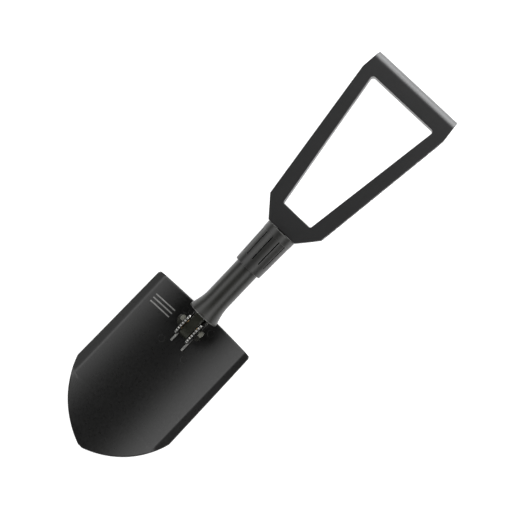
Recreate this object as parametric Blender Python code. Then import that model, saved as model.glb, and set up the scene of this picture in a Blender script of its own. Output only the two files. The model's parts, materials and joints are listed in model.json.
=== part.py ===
"""Tri-fold camp shovel: dished blade, telescoping flared sleeve and D handle on a folding steel link.

Metres, +Z up. X runs along the shaft: the blade tip is at -X and the grip at +X.
The blade's hollow face looks up. The origin is at the middle of the bottom of the bounding box.
All lengths along the shaft are given from the blade hinge's axis, and placed by AXIS_X and AXIS_Z.
"""
import math

import bmesh
import bpy
from mathutils import Matrix, Vector

MM = 0.001
GAP = 0.3 * MM                      # between neighbouring pieces that touch on the real tool

# ---- blade
TIP_REACH = 202.3 * MM              # hinge axis to blade tip
SHOULDER_REACH = 120.6 * MM         # hinge axis to the corner where the point begins
REAR_REACH = 22.4 * MM              # hinge axis to the rear edge, towards the handle
SHOULDER_HALF_WIDTH = 77.7 * MM
REAR_NARROWING = 2.3 * MM           # each side comes in by this much from the shoulder to the rear
POINT_RADIUS = 118 * MM             # arc of each side of the point
TIP_HALF_WIDTH = 1.5 * MM           # blunt end of the point
BLADE_SHEET = 2.0 * MM
BLADE_DROP = 24.6 * MM              # hinge axis down to the blade's front face
DISH_RADIUS = 218 * MM              # crosswise curve of the dish
STRIP_WIDTH = 11.0 * MM             # turned-up strip along each side
STRIP_SLOPE = 0.70                  # rise of the side strips for each unit outwards
TIP_LIFT = 8 * MM
TIP_LIFT_START = 60 * MM
REAR_LIP = 3.6 * MM                 # width of the turned-down rear lip
REAR_LIP_DROP = 3.0 * MM
REAR_CORNER = 4 * MM

# ---- blade hinge
EAR_RADIUS = 20.4 * MM              # tips of the locking teeth
LOCK_GAP = 0.4 * MM                 # flare to teeth, and collar to handle
TOOTH_DEPTH = 1.8 * MM
TOOTH_COUNT = 8
TOOTH_ARC = (48.0, 142.0)           # degrees round the bolt, from the handle's side
STOP_TOP = -2 * MM                  # the stop lug behind the teeth ends here, below the hinge axis
EAR_THICKNESS = 2.5 * MM
FRICTION_WASHER = 0.85 * MM         # between the link and each ear
EAR_FOOT_REACH = 32 * MM
BRACKET_SHEET = 2.5 * MM
BRACKET_FRONT = 46 * MM             # reach of the base plate under the blade
BRACKET_REAR = 19 * MM
BRACKET_HALF_WIDTH = 29 * MM
RIVET_RADIUS = 2.5 * MM
RIVET_HEAD_RADIUS = 4.2 * MM
RIVET_HEAD = 1.6 * MM               # depth of the countersunk head, flush with the blade's face
RIVET_DOME = 1.8 * MM
RIVET_SINK = 0.1 * MM               # the head's face lies this far below the blade's
RIVET_INSET_FRONT = (8 * MM, 10 * MM)   # from the base plate's front and side edges
RIVET_INSET_REAR = (11 * MM, 8 * MM)
BOLT_RADIUS = 4 * MM
BOLT_HEX = 13 * MM                  # across the flats
BOLT_HEAD = 6.0 * MM
NUT_HEIGHT = 6.5 * MM
BOLT_PROUD = 1.2 * MM
WASHER_RADIUS = 8 * MM
WASHER = 1.6 * MM

# ---- folding link inside the shaft
LINK_HALF_THICK = 6.2 * MM
LINK_HALF_HEIGHT = 7.0 * MM
LINK_DISC = 15.0 * MM               # round end in the blade hinge
LINK_EYE = 7.0 * MM                 # round end in the handle
LINK_SHOULDER = (24 * MM, 35 * MM)  # the link narrows between these, inside the flare
LINK_FIT = 0.35 * MM                # clearance of what slides on the link

# ---- flared tube
TUBE_RADIUS = 15.5 * MM
TUBE_WALL = 2.9 * MM
RIM_FLARE = 4.8 * MM                # the rim stands out from the tube by this much
RIM_WALL = 1.8 * MM
RIM_STRAIGHT = 2 * MM               # plain run of the rim before the flare
FLARE_LENGTH = 24.5 * MM
THREAD_LEAD = 8 * MM
THREAD_DEPTH = 1.0 * MM
THREAD_FIT = 0.4 * MM               # radial and axial play
THREAD_RAMP = 0.15                  # turns over which the groove deepens
BUSH_LENGTH = 12 * MM

# ---- locking collar
COLLAR_START = 98.8 * MM
COLLAR_LENGTH = 58.8 * MM
COLLAR_WALL_START = 2.5 * MM
COLLAR_WALL_END = 4.6 * MM
SLOT_COUNT = 12
SLOT_WIDTH = 1.3 * MM
SLOT_DEPTH = 1.0 * MM
SLOT_INSET_START = 12.5 * MM
SLOT_INSET_END = 10.5 * MM
COLLAR_TRAVEL = 14 * MM             # how far the collar screws down the tube to unlock
RIDGE_TURNS = 1.2
RIDGE_RAMP = 0.2
RIDGE_ROWS = 3                      # turns of the bore's surface that hold the ridge
CUP_STEP = 1.1 * MM                 # the cup for the thrust ring is wider than the bore by this much
CUP_DEPTH = 11.5 * MM
SEAL_RADIUS = 0.7 * MM
SEAL_INSET = 2.6 * MM
THRUST_STOP = 1.0 * MM              # left between the thrust ring and the tube when unlocked
THRUST_RING = 9.4 * MM

# ---- handle
PIN_INSET = 13.3 * MM               # handle base to the folding pin's axis
HANDLE_HALF_THICK = 10 * MM
BASE_MARGIN = 0.5 * MM              # the base is wider than the collar by this much on each side
CORNER_INSET = 24.1 * MM            # handle base to the widest corner of the shoulder
CORNER_HALF_WIDTH = 41.3 * MM
OPENING_INSET = 26.3 * MM           # handle base to the hand opening
OPENING_START_HALF = 21.9 * MM
OPENING_END_HALF = 48.8 * MM
OPENING_CORNER = 3.5 * MM
HANDLE_LENGTH = 233.1 * MM
GRIP_DEPTH = 27.0 * MM
GRIP_HALF_LENGTH = 64.6 * MM
GRIP_END_TAPER = 2.9 * MM           # the grip's ends lean in by this much
POCKET_COUNT = 10
POCKET_FIRST = 6 * MM               # from the shoulder's corner to the middle of the first rib
POCKET_LAST = 4 * MM                # from the middle of the last rib to the grip's corner
POCKET_RIB = 2.2 * MM
POCKET_DEPTH = 4.5 * MM
POCKET_HALF_HEIGHT = 6.4 * MM
SLOT_CEILING_FIT = 0.4 * MM         # between the link and the top of its slot
SLOT_SIDE_FIT = 0.4 * MM            # between the link and each side of its slot
EDGE_BEVEL = 0.8 * MM
PIN_RADIUS = 3.5 * MM
PIN_HEAD_RADIUS = 6 * MM
PIN_HEAD = 2.5 * MM
PIN_SEAT = 24 * MM                  # floor of the side pockets for the pin's head and clip
PIN_POCKET_RADIUS = 7.5 * MM
CLIP = 1.0 * MM
PIN_WASHER = 1.0 * MM

# ---- worked out from the above
REAR_HALF_WIDTH = SHOULDER_HALF_WIDTH - REAR_NARROWING
BEND_LINE = SHOULDER_HALF_WIDTH - STRIP_WIDTH
BLADE_BACK = BLADE_DROP + BLADE_SHEET
EAR_INNER = LINK_HALF_THICK + FRICTION_WASHER + 2 * GAP
TUBE_BORE = TUBE_RADIUS - TUBE_WALL
RIM_RADIUS = TUBE_RADIUS + RIM_FLARE
RIM_REACH = EAR_RADIUS + LOCK_GAP
FLARE_END = RIM_REACH + RIM_STRAIGHT + FLARE_LENGTH
THREAD_START = COLLAR_START + 1.2 * MM - THREAD_LEAD / 2
COLLAR_END = COLLAR_START + COLLAR_LENGTH
COLLAR_BORE = TUBE_RADIUS + THREAD_FIT
COLLAR_RADIUS_START = COLLAR_BORE + COLLAR_WALL_START
COLLAR_RADIUS_END = COLLAR_BORE + COLLAR_WALL_END
CUP_RADIUS = COLLAR_BORE + CUP_STEP
THRUST_END = COLLAR_END - LOCK_GAP / 2
TUBE_END = THRUST_END - THRUST_RING - COLLAR_TRAVEL - THRUST_STOP
HANDLE_START = COLLAR_END + LOCK_GAP
HANDLE_PIN_REACH = HANDLE_START + PIN_INSET
CORNER_REACH = HANDLE_START + CORNER_INSET
OPENING_START = HANDLE_START + OPENING_INSET
GRIP_END = HANDLE_START + HANDLE_LENGTH
BASE_HALF_WIDTH = COLLAR_RADIUS_END + BASE_MARGIN
SLOT_CEILING = LINK_HALF_HEIGHT + SLOT_CEILING_FIT
KNUCKLE_RADIUS = HANDLE_PIN_REACH - COLLAR_END - 0.5 * MM   # round back of the handle's shoulder
OPENING_END = GRIP_END - GRIP_DEPTH
BUSH_PLACES = {"lower_guide_bush": FLARE_END + 3 * MM, "upper_guide_bush": THREAD_START + 2 * THREAD_LEAD}
RIVET_PLACES = (
    (-BRACKET_FRONT + RIVET_INSET_FRONT[0], BRACKET_HALF_WIDTH - RIVET_INSET_FRONT[1]),
    (BRACKET_REAR - RIVET_INSET_REAR[0], BRACKET_HALF_WIDTH - RIVET_INSET_REAR[1]),
)
RIVET_GRIP = BLADE_SHEET + GAP + BRACKET_SHEET
AXIS_X = (TIP_REACH - GRIP_END) / 2
ROUND = 40                          # sides of the large round pieces
SMALL_ROUND = 24


def clear_scene():
    for old in list(bpy.data.objects):
        bpy.data.objects.remove(old, do_unlink=True)


def material(name, colour, roughness, metallic):
    found = bpy.data.materials.get(name)
    if found:
        return found
    made = bpy.data.materials.new(name)
    made.use_nodes = True
    shader = made.node_tree.nodes["Principled BSDF"]
    shader.inputs["Base Color"].default_value = (*colour, 1)
    shader.inputs["Roughness"].default_value = roughness
    shader.inputs["Metallic"].default_value = metallic
    return made


def black_coat():
    return material("black_powder_coat", (0.012, 0.012, 0.012), 0.42, 0.0)


def black_steel():
    return material("black_steel", (0.03, 0.03, 0.03), 0.4, 0.8)


def grey_aluminium():
    return material("grey_anodised_aluminium", (0.09, 0.09, 0.088), 0.38, 0.8)


def black_nylon():
    return material("black_glass_filled_nylon", (0.03, 0.03, 0.031), 0.5, 0.0)


def black_rubber():
    return material("black_rubber", (0.01, 0.01, 0.01), 0.7, 0.0)


def bronze():
    return material("friction_bronze", (0.3, 0.2, 0.09), 0.35, 0.9)


def new_object(name, shape, finish, parent=None):
    """Turn a bmesh in hinge-axis coordinates into a placed object."""
    bmesh.ops.recalc_face_normals(shape, faces=shape.faces)
    mesh = bpy.data.meshes.new(name)
    shape.to_mesh(mesh)
    shape.free()
    mesh.shade_smooth()
    mesh.set_sharp_from_angle(angle=math.radians(32))
    if finish:
        mesh.materials.append(finish)
    made = bpy.data.objects.new(name, mesh)
    bpy.context.scene.collection.objects.link(made)
    if parent:
        origin = Vector(parent.location) - Vector((AXIS_X, 0, AXIS_Z))
        mesh.transform(Matrix.Translation(-origin))
        made.parent = parent
    else:
        made.location = (AXIS_X, 0, AXIS_Z)
    return made


def pivot(name, reach):
    """Empty on a joint's axis, at a distance along the shaft from the blade hinge."""
    made = bpy.data.objects.new(name, None)
    made.location = (AXIS_X + reach, 0, AXIS_Z)
    bpy.context.scene.collection.objects.link(made)
    return made


def cut(target, shape, name, operation="DIFFERENCE"):
    """Subtract, add or intersect a bmesh in hinge-axis coordinates."""
    tool = new_object(name, shape, None)
    if target.parent:
        tool.parent = target.parent
        tool.location = -Vector(target.parent.location) + Vector((AXIS_X, 0, AXIS_Z))
    tool.hide_render = True
    tool.display_type = "WIRE"
    step = target.modifiers.new(name, "BOOLEAN")
    step.object = tool
    step.operation = operation
    step.solver = "EXACT"


def prism(shape, outline, axis, low, high):
    """Extrude an outline. Axis Y takes (x, z) points, axis Z takes (x, y) and axis X takes (y, z)."""
    def place(point, level):
        if axis == "Y":
            return (point[0], level, point[1])
        if axis == "Z":
            return (point[0], point[1], level)
        return (level, point[0], point[1])

    ends = [[shape.verts.new(place(p, level)) for p in outline] for level in (low, high)]
    count = len(outline)
    for i in range(count):
        j = (i + 1) % count
        shape.faces.new((ends[0][i], ends[0][j], ends[1][j], ends[1][i]))
    caps = [shape.faces.new(ends[0]), shape.faces.new(ends[1])]
    bmesh.ops.recalc_face_normals(shape, faces=shape.faces)
    return caps


def box(shape, low, high):
    outline = [(low[0], low[1]), (high[0], low[1]), (high[0], high[1]), (low[0], high[1])]
    prism(shape, outline, "Z", low[2], high[2])


def arc(centre, radius, start, end, steps):
    """Points on an arc, angles in degrees."""
    points = []
    for i in range(steps + 1):
        turn = math.radians(start + (end - start) * i / steps)
        points.append((centre[0] + radius * math.cos(turn), centre[1] + radius * math.sin(turn)))
    return points


def ring(shape, reach, radius, sides):
    turns = [2 * math.pi * j / sides for j in range(sides)]
    return [shape.verts.new((reach, radius * math.cos(t), radius * math.sin(t))) for t in turns]


def skin(shape, first, second):
    count = len(first)
    for j in range(count):
        k = (j + 1) % count
        shape.faces.new((first[j], first[k], second[k], second[j]))


def turned(profile, sides=ROUND, closed=True):
    """Body turned about the shaft's axis from (reach, radius) points."""
    shape = bmesh.new()
    rings = [ring(shape, reach, radius, sides) for reach, radius in profile]
    for first, second in zip(rings, rings[1:]):
        skin(shape, first, second)
    if closed:
        skin(shape, rings[-1], rings[0])
    else:
        shape.faces.new(rings[0])
        shape.faces.new(rings[-1])
    return shape


def turn_to(shape, direction, place):
    """Swing a body turned about X to another axis, and move it."""
    spin = Vector((1, 0, 0)).rotation_difference(Vector(direction)).to_matrix().to_4x4()
    shape.transform(Matrix.Translation(place) @ spin)
    return shape


def tube_between(inner, outer, low, high, sides=SMALL_ROUND):
    return turned([(low, inner), (low, outer), (high, outer), (high, inner)], sides)


def cross_bore(radius, reach, low, high, sides=SMALL_ROUND):
    """Cylinder along Y, for bores and pins."""
    shape = turned([(low, radius), (high, radius)], sides, closed=False)
    return turn_to(shape, (0, 1, 0), (reach, 0, 0))


def threaded_skin(shape, lower, upper, start, turns, offsets, radius_at, sides=ROUND):
    """Join two plain rings with a helical surface whose rows follow the thread.

    offsets are the rows of one turn along the axis, and radius_at gives a row's radius
    from its place in the turn and the number of turns run so far.
    """
    per_turn = len(offsets)
    rows = per_turn * turns

    def column(j, top):
        made = []
        for i in range(top + 1):
            turned_by = i // per_turn + j / sides
            reach = start + THREAD_LEAD * turned_by + offsets[i % per_turn]
            radius = radius_at(i % per_turn, turned_by)
            angle = 2 * math.pi * j / sides
            made.append(shape.verts.new((reach, radius * math.cos(angle), radius * math.sin(angle))))
        return made

    columns = [column(0, rows + per_turn)] + [column(j, rows) for j in range(1, sides)]
    for j in range(sides):
        left = columns[j]
        right = columns[(j + 1) % sides]
        shift = per_turn if j == sides - 1 else 0
        for i in range(rows):
            shape.faces.new((left[i], right[i + shift], right[i + 1 + shift], left[i + 1]))
    for j in range(sides - 1):
        shape.faces.new((lower[j], lower[j + 1], columns[j + 1][0], columns[j][0]))
    shape.faces.new([lower[-1], lower[0]] + columns[0][:per_turn + 1] + [columns[-1][0]])
    for j in range(1, sides):
        k = (j + 1) % sides
        right_top = columns[k][rows + per_turn] if k == 0 else columns[k][rows]
        shape.faces.new((columns[j][rows], right_top, upper[k], upper[j]))
    run = columns[0][rows:rows + per_turn + 1]
    shape.faces.new([columns[1][rows], upper[1], upper[0]] + list(reversed(run)))


def ramp(value, start, end):
    return min(1.0, max(0.0, (value - start) / (end - start)))


# ------------------------------------------------------------------ blade

def point_half_width(reach):
    """Half width of the pointed end: an arc from the tip to the shoulder corner."""
    tip = Vector((-TIP_REACH, TIP_HALF_WIDTH))
    corner = Vector((-SHOULDER_REACH, SHOULDER_HALF_WIDTH))
    chord = corner - tip
    inward = Vector((chord.y, -chord.x)).normalized()
    centre = (tip + corner) / 2 + inward * math.sqrt(POINT_RADIUS ** 2 - (chord.length / 2) ** 2)
    return centre.y + math.sqrt(POINT_RADIUS ** 2 - (reach - centre.x) ** 2)


def blade_half_width(reach):
    if reach < -SHOULDER_REACH:
        return point_half_width(reach)
    share = (reach + SHOULDER_REACH) / (REAR_REACH + SHOULDER_REACH)
    width = SHOULDER_HALF_WIDTH + (REAR_HALF_WIDTH - SHOULDER_HALF_WIDTH) * share
    into_corner = max(0.0, reach - (REAR_REACH - REAR_CORNER))
    return width - REAR_CORNER + math.sqrt(max(0.0, REAR_CORNER ** 2 - into_corner ** 2))


def dish_height(across):
    """Rise of the blade above its centre line, from the dish and the turned-up side strips."""
    inside = min(abs(across), BEND_LINE)
    outside = max(abs(across) - BEND_LINE, 0.0)
    return DISH_RADIUS - math.sqrt(DISH_RADIUS ** 2 - inside ** 2) + STRIP_SLOPE * outside


def blade_height(reach, across):
    """Blade's front face, measured from the hinge axis."""
    run = max(0.0, -reach - TIP_LIFT_START) / (TIP_REACH - TIP_LIFT_START)
    into_lip = max(0.0, reach - (REAR_REACH - REAR_LIP)) / REAR_LIP
    return -BLADE_DROP + dish_height(across) + TIP_LIFT * run ** 2 - REAR_LIP_DROP * into_lip ** 2


def dish_normal(across):
    """Direction square to the blade's face."""
    return Vector((0, -across, math.sqrt(DISH_RADIUS ** 2 - across ** 2))).normalized()


def on_blade(shape, reach, across):
    """Place a body turned about X square to the blade, with its zero on the blade's face."""
    return turn_to(shape, dish_normal(across), (reach, across, blade_height(reach, across)))


def rivet_spots():
    for reach, across in RIVET_PLACES:
        for side in (-1, 1):
            yield reach, side * across


def rivet_shape(reach, across):
    """Rivet with a flush countersunk head in front and a low dome behind the bracket."""
    back = -RIVET_GRIP - GAP
    profile = [(back - RIVET_DOME, 0.9 * MM), (back - 0.8 * RIVET_DOME, 2.6 * MM)]
    profile += [(back - 0.35 * RIVET_DOME, 3.9 * MM), (back, RIVET_HEAD_RADIUS), (back, RIVET_RADIUS)]
    profile += [(-RIVET_HEAD, RIVET_RADIUS), (-RIVET_SINK, RIVET_HEAD_RADIUS)]
    return on_blade(turned(profile, SMALL_ROUND, closed=False), reach, across)


def lowest_point():
    """Depth of the rivets' domes below the hinge axis: they are what the shovel lies on."""
    depth = 0.0
    for reach, across in rivet_spots():
        shape = rivet_shape(reach, across)
        depth = max(depth, max(-vertex.co.z for vertex in shape.verts))
        shape.free()
    return depth


def blade_rows():
    """Places along the blade: closer together at the tip and over the rear lip."""
    steps = 12
    point = TIP_REACH - SHOULDER_REACH
    rows = [-TIP_REACH + point * (1 - math.cos(math.pi / 2 * i / steps)) for i in range(steps)]
    straight = REAR_REACH - REAR_LIP + SHOULDER_REACH
    rows += [-SHOULDER_REACH + straight * i / 8 for i in range(9)]
    return rows + [REAR_REACH - REAR_LIP * share for share in (0.66, 0.33, 0.0)]


def blade_columns(half_width):
    """Places across the blade, with one on each bend line and one on each edge."""
    bend = min(BEND_LINE, 0.93 * half_width)
    inner = [bend * i / 7 for i in range(8)]
    right = inner + [half_width]
    return [-y for y in reversed(right)] + right[1:]


def blade_shape():
    shape = bmesh.new()
    faces = []
    for depth in (0.0, BLADE_SHEET):
        sheet = []
        for reach in blade_rows():
            columns = blade_columns(blade_half_width(reach))
            sheet.append([shape.verts.new((reach, y, blade_height(reach, y) - depth)) for y in columns])
        faces.append(sheet)
        for first, second in zip(sheet, sheet[1:]):
            for i in range(len(first) - 1):
                shape.faces.new((first[i], first[i + 1], second[i + 1], second[i]))
    rims = []
    for sheet in faces:
        rim = sheet[0] + [row[-1] for row in sheet[1:-1]] + sheet[-1][::-1]
        rims.append(rim + [row[0] for row in sheet[-2:0:-1]])
    skin(shape, rims[0], rims[1])
    return shape


def make_blade(body):
    blade = new_object("blade", blade_shape(), black_coat(), body)
    slots = bmesh.new()
    for side in (-1, 1):
        edges = sorted((side * (EAR_INNER - GAP), side * (EAR_INNER + EAR_THICKNESS + GAP)))
        low = (-EAR_FOOT_REACH - GAP, edges[0], -BLADE_BACK - 5 * MM)
        box(slots, low, (BRACKET_REAR + GAP, edges[1], -BLADE_DROP + 5 * MM))
    cut(blade, slots, "ear_slots")
    holes = bmesh.new()
    for reach, across in rivet_spots():
        spread = (RIVET_HEAD_RADIUS - RIVET_RADIUS) / (RIVET_HEAD - RIVET_SINK)
        clear = RIVET_RADIUS + GAP
        over = 1.0 * MM
        profile = [(-5 * MM, clear), (-RIVET_HEAD - GAP, clear), (over, clear + (RIVET_HEAD + GAP + over) * spread)]
        join(holes, on_blade(turned(profile, SMALL_ROUND, closed=False), reach, across))
    cut(blade, holes, "rivet_holes")


def join(target, other):
    """Add one bmesh's shape to another."""
    mesh = bpy.data.meshes.new("joined")
    bmesh.ops.recalc_face_normals(other, faces=other.faces)
    other.to_mesh(mesh)
    other.free()
    target.from_mesh(mesh)
    bpy.data.meshes.remove(mesh)


# ------------------------------------------------------------------ blade hinge

def ear_outline():
    """Side view of an ear: toothed arc above, a stop lug behind, a straight flank and a foot."""
    first, last = TOOTH_ARC
    pitch = (last - first) / TOOTH_COUNT
    inner = EAR_RADIUS - TOOTH_DEPTH
    points = [(BRACKET_REAR, STOP_TOP), (inner * math.cos(math.radians(first)), STOP_TOP)]
    for i in range(TOOTH_COUNT):
        start = first + i * pitch
        for share, radius in ((0.0, inner), (0.3, EAR_RADIUS), (0.62, EAR_RADIUS)):
            turn = math.radians(start + share * pitch)
            points.append((radius * math.cos(turn), radius * math.sin(turn)))
    points.append((inner * math.cos(math.radians(last)), inner * math.sin(math.radians(last))))
    points.append((-inner, 0))
    points.append((-EAR_RADIUS + 0.4 * MM, -EAR_RADIUS - 0.4 * MM))
    points.append((-EAR_FOOT_REACH, -EAR_RADIUS - 1.8 * MM))
    points.append((-EAR_FOOT_REACH, -BLADE_BACK - 1.2 * MM))
    points.append((BRACKET_REAR, -BLADE_BACK - 1.2 * MM))
    return points


def plate_shape(reaches, half_width, top_of, thickness, steps=8):
    """Plate that follows the back of the dish."""
    shape = bmesh.new()
    layers = []
    for depth in (0.0, thickness):
        sheet = []
        for reach in reaches:
            places = [half_width * (2 * i / steps - 1) for i in range(steps + 1)]
            sheet.append([shape.verts.new((reach, y, top_of(y) - depth)) for y in places])
        layers.append(sheet)
        for first, second in zip(sheet, sheet[1:]):
            for i in range(steps):
                shape.faces.new((first[i], first[i + 1], second[i + 1], second[i]))
    rims = []
    for sheet in layers:
        rim = sheet[0] + [row[-1] for row in sheet[1:-1]] + sheet[-1][::-1]
        rims.append(rim + [row[0] for row in sheet[-2:0:-1]])
    skin(shape, rims[0], rims[1])
    return shape


def bracket_top(across):
    return dish_height(across) - BLADE_BACK - GAP


def make_bracket(body):
    reaches = [-BRACKET_FRONT, -EAR_FOOT_REACH, 0.0, BRACKET_REAR]
    plate = plate_shape(reaches, BRACKET_HALF_WIDTH, bracket_top, BRACKET_SHEET)
    bracket = new_object("hinge_bracket", plate, black_coat(), body)
    for side, name in ((-1, "right_ear"), (1, "left_ear")):
        ear = bmesh.new()
        edges = sorted((side * EAR_INNER, side * (EAR_INNER + EAR_THICKNESS)))
        prism(ear, ear_outline(), "Y", edges[0], edges[1])
        cut(bracket, ear, name, "UNION")
    cut(bracket, cross_bore(BOLT_RADIUS + GAP, 0, -30 * MM, 30 * MM), "bolt_bore")
    holes = bmesh.new()
    for reach, across in rivet_spots():
        hole = turned([(-12 * MM, RIVET_RADIUS + GAP), (2 * MM, RIVET_RADIUS + GAP)], SMALL_ROUND, False)
        join(holes, on_blade(hole, reach, across))
    cut(bracket, holes, "bracket_rivet_holes")


def make_rivets(body):
    for number, (reach, across) in enumerate(rivet_spots(), start=1):
        new_object(f"bracket_rivet_{number}", rivet_shape(reach, across), black_coat(), body)


def hexagon(across_flats):
    radius = across_flats / math.sqrt(3)
    return [(radius * math.cos(math.radians(60 * i + 30)), radius * math.sin(math.radians(60 * i + 30)))
            for i in range(6)]


def washer_shape(radius, start, thickness, bore=BOLT_RADIUS + GAP, reach=0.0):
    shape = tube_between(bore, radius, start, start + thickness)
    return turn_to(shape, (0, 1, 0), (reach, 0, 0))


def make_hinge_hardware(body):
    ear_outer = EAR_INNER + EAR_THICKNESS
    seat = ear_outer + GAP
    head_face = seat + WASHER + GAP
    for name, side in (("right", -1), ("left", 1)):
        start = seat if side > 0 else -seat - WASHER
        new_object(f"hinge_washer_{name}", washer_shape(WASHER_RADIUS, start, WASHER), black_steel(), body)
        inner = LINK_HALF_THICK + GAP
        thick = EAR_INNER - GAP - inner
        start = inner if side > 0 else -inner - thick
        washer = washer_shape(LINK_DISC - 4 * MM, start, thick)
        new_object(f"friction_washer_{name}", washer, bronze(), body)
    bolt_end = head_face + NUT_HEIGHT + BOLT_PROUD
    shape = bmesh.new()
    prism(shape, hexagon(BOLT_HEX), "Y", -head_face - BOLT_HEAD, -head_face)
    bolt = new_object("hinge_bolt", shape, black_steel(), body)
    profile = [(-head_face - 1 * MM, BOLT_RADIUS), (bolt_end - 0.8 * MM, BOLT_RADIUS)]
    profile += [(bolt_end, BOLT_RADIUS - 0.8 * MM)]
    shank = turn_to(turned(profile, SMALL_ROUND, closed=False), (0, 1, 0), (0, 0, 0))
    cut(bolt, shank, "bolt_shank", "UNION")
    shape = bmesh.new()
    prism(shape, hexagon(BOLT_HEX), "Y", head_face, head_face + NUT_HEIGHT)
    nut = new_object("hinge_nut", shape, black_steel(), body)
    cut(nut, cross_bore(BOLT_RADIUS + GAP, 0, 0, 40 * MM), "nut_bore")


# ------------------------------------------------------------------ shaft

def link_outline():
    """Side view of the link: deep at the blade hinge, narrow through the tube, round at both ends."""
    wide, narrow = LINK_SHOULDER
    points = [(narrow, LINK_HALF_HEIGHT), (wide, LINK_DISC)]
    points += arc((0, 0), LINK_DISC, 90, 270, 20)
    points += [(wide, -LINK_DISC), (narrow, -LINK_HALF_HEIGHT)]
    points += arc((HANDLE_PIN_REACH, 0), LINK_EYE, -90, 90, 14)
    return points


def make_link():
    shape = bmesh.new()
    prism(shape, link_outline(), "Y", -LINK_HALF_THICK, LINK_HALF_THICK)
    link = new_object("shaft_link", shape, black_steel())
    bores = cross_bore(BOLT_RADIUS + GAP, 0, -20 * MM, 20 * MM)
    join(bores, cross_bore(PIN_RADIUS + GAP, HANDLE_PIN_REACH, -20 * MM, 20 * MM))
    cut(link, bores, "link_bores")


def link_window(shape, low, high):
    """Cutter for the rectangular hole that slides on the link."""
    side = LINK_HALF_THICK + LINK_FIT
    tall = LINK_HALF_HEIGHT + LINK_FIT
    box(shape, (low, -side, -tall), (high, side, tall))


def make_bushes():
    for name, start in BUSH_PLACES.items():
        outer = TUBE_BORE - GAP
        bush = new_object(name, turned([(start, outer), (start + BUSH_LENGTH, outer)], closed=False),
                          black_nylon())
        window = bmesh.new()
        link_window(window, start - 5 * MM, start + BUSH_LENGTH + 5 * MM)
        cut(bush, window, name + "_window")


def flare_radius(share):
    """Outer radius of the flare from the rim (0) to the straight tube (1)."""
    return TUBE_RADIUS + (RIM_RADIUS - TUBE_RADIUS) * (1 - share) ** 2 * (1 + 0.35 * share)


def tube_thread_radius(place, turns):
    """A groove that starts softly and runs out at the tube's end."""
    groove = 1.0 if place >= 2 else 0.0
    relief = ramp(turns, thread_turns() - 0.4, thread_turns() - 0.1)
    depth = max(groove * ramp(turns, 0.0, THREAD_RAMP), relief)
    return TUBE_RADIUS - THREAD_DEPTH * depth


def thread_turns():
    return int((TUBE_END - THREAD_START) / THREAD_LEAD) - 1


def make_tube(body):
    shape = bmesh.new()
    steps = 9
    flare = [i / steps for i in range(steps + 1)]
    inner_start = RIM_RADIUS - RIM_WALL
    mouth = [(RIM_REACH + 0.5 * MM, inner_start), (RIM_REACH, inner_start + 0.6 * MM)]
    mouth += [(RIM_REACH, RIM_RADIUS - 0.7 * MM), (RIM_REACH + 0.5 * MM, RIM_RADIUS - 0.15 * MM)]
    flare_start = FLARE_END - FLARE_LENGTH
    outer = [(flare_start + FLARE_LENGTH * s, flare_radius(s)) for s in flare]
    rings = [ring(shape, reach, radius, ROUND) for reach, radius in mouth + outer]
    lower = ring(shape, THREAD_START - 1 * MM, TUBE_RADIUS, ROUND)
    upper = ring(shape, TUBE_END, TUBE_RADIUS - THREAD_DEPTH, ROUND)
    half = THREAD_LEAD / 2
    offsets = (0.0, half - THREAD_DEPTH, half, THREAD_LEAD - THREAD_DEPTH)
    threaded_skin(shape, lower, upper, THREAD_START, thread_turns(), offsets, tube_thread_radius)
    bore = [(TUBE_END, TUBE_BORE)]
    bore += [(flare_start + FLARE_LENGTH * s, inner_radius(s)) for s in reversed(flare)]
    bore_rings = [ring(shape, reach, radius, ROUND) for reach, radius in bore]
    for first, second in zip(rings, rings[1:]):
        skin(shape, first, second)
    skin(shape, rings[-1], lower)
    skin(shape, upper, bore_rings[0])
    for first, second in zip(bore_rings, bore_rings[1:]):
        skin(shape, first, second)
    skin(shape, bore_rings[-1], rings[0])
    new_object("flared_tube", shape, grey_aluminium(), body)


def inner_radius(share):
    wide = RIM_RADIUS - RIM_WALL
    return TUBE_BORE + (wide - TUBE_BORE) * (1 - share) ** 2 * (1 + 0.35 * share)


# ------------------------------------------------------------------ collar

def collar_radius(reach):
    share = (reach - COLLAR_START) / (COLLAR_END - COLLAR_START)
    return COLLAR_RADIUS_START + (COLLAR_RADIUS_END - COLLAR_RADIUS_START) * share


def ridge_radius(place, turns):
    """The collar's inner ridge, which runs in the tube's groove."""
    ridge = 1.0 if place >= 2 else 0.0
    first = (COLLAR_TRAVEL / THREAD_LEAD) % 1
    last = first + RIDGE_TURNS
    height = ramp(turns, first, first + RIDGE_RAMP) * (1 - ramp(turns, last, last + RIDGE_RAMP))
    return COLLAR_BORE - THREAD_DEPTH * ridge * height


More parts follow.
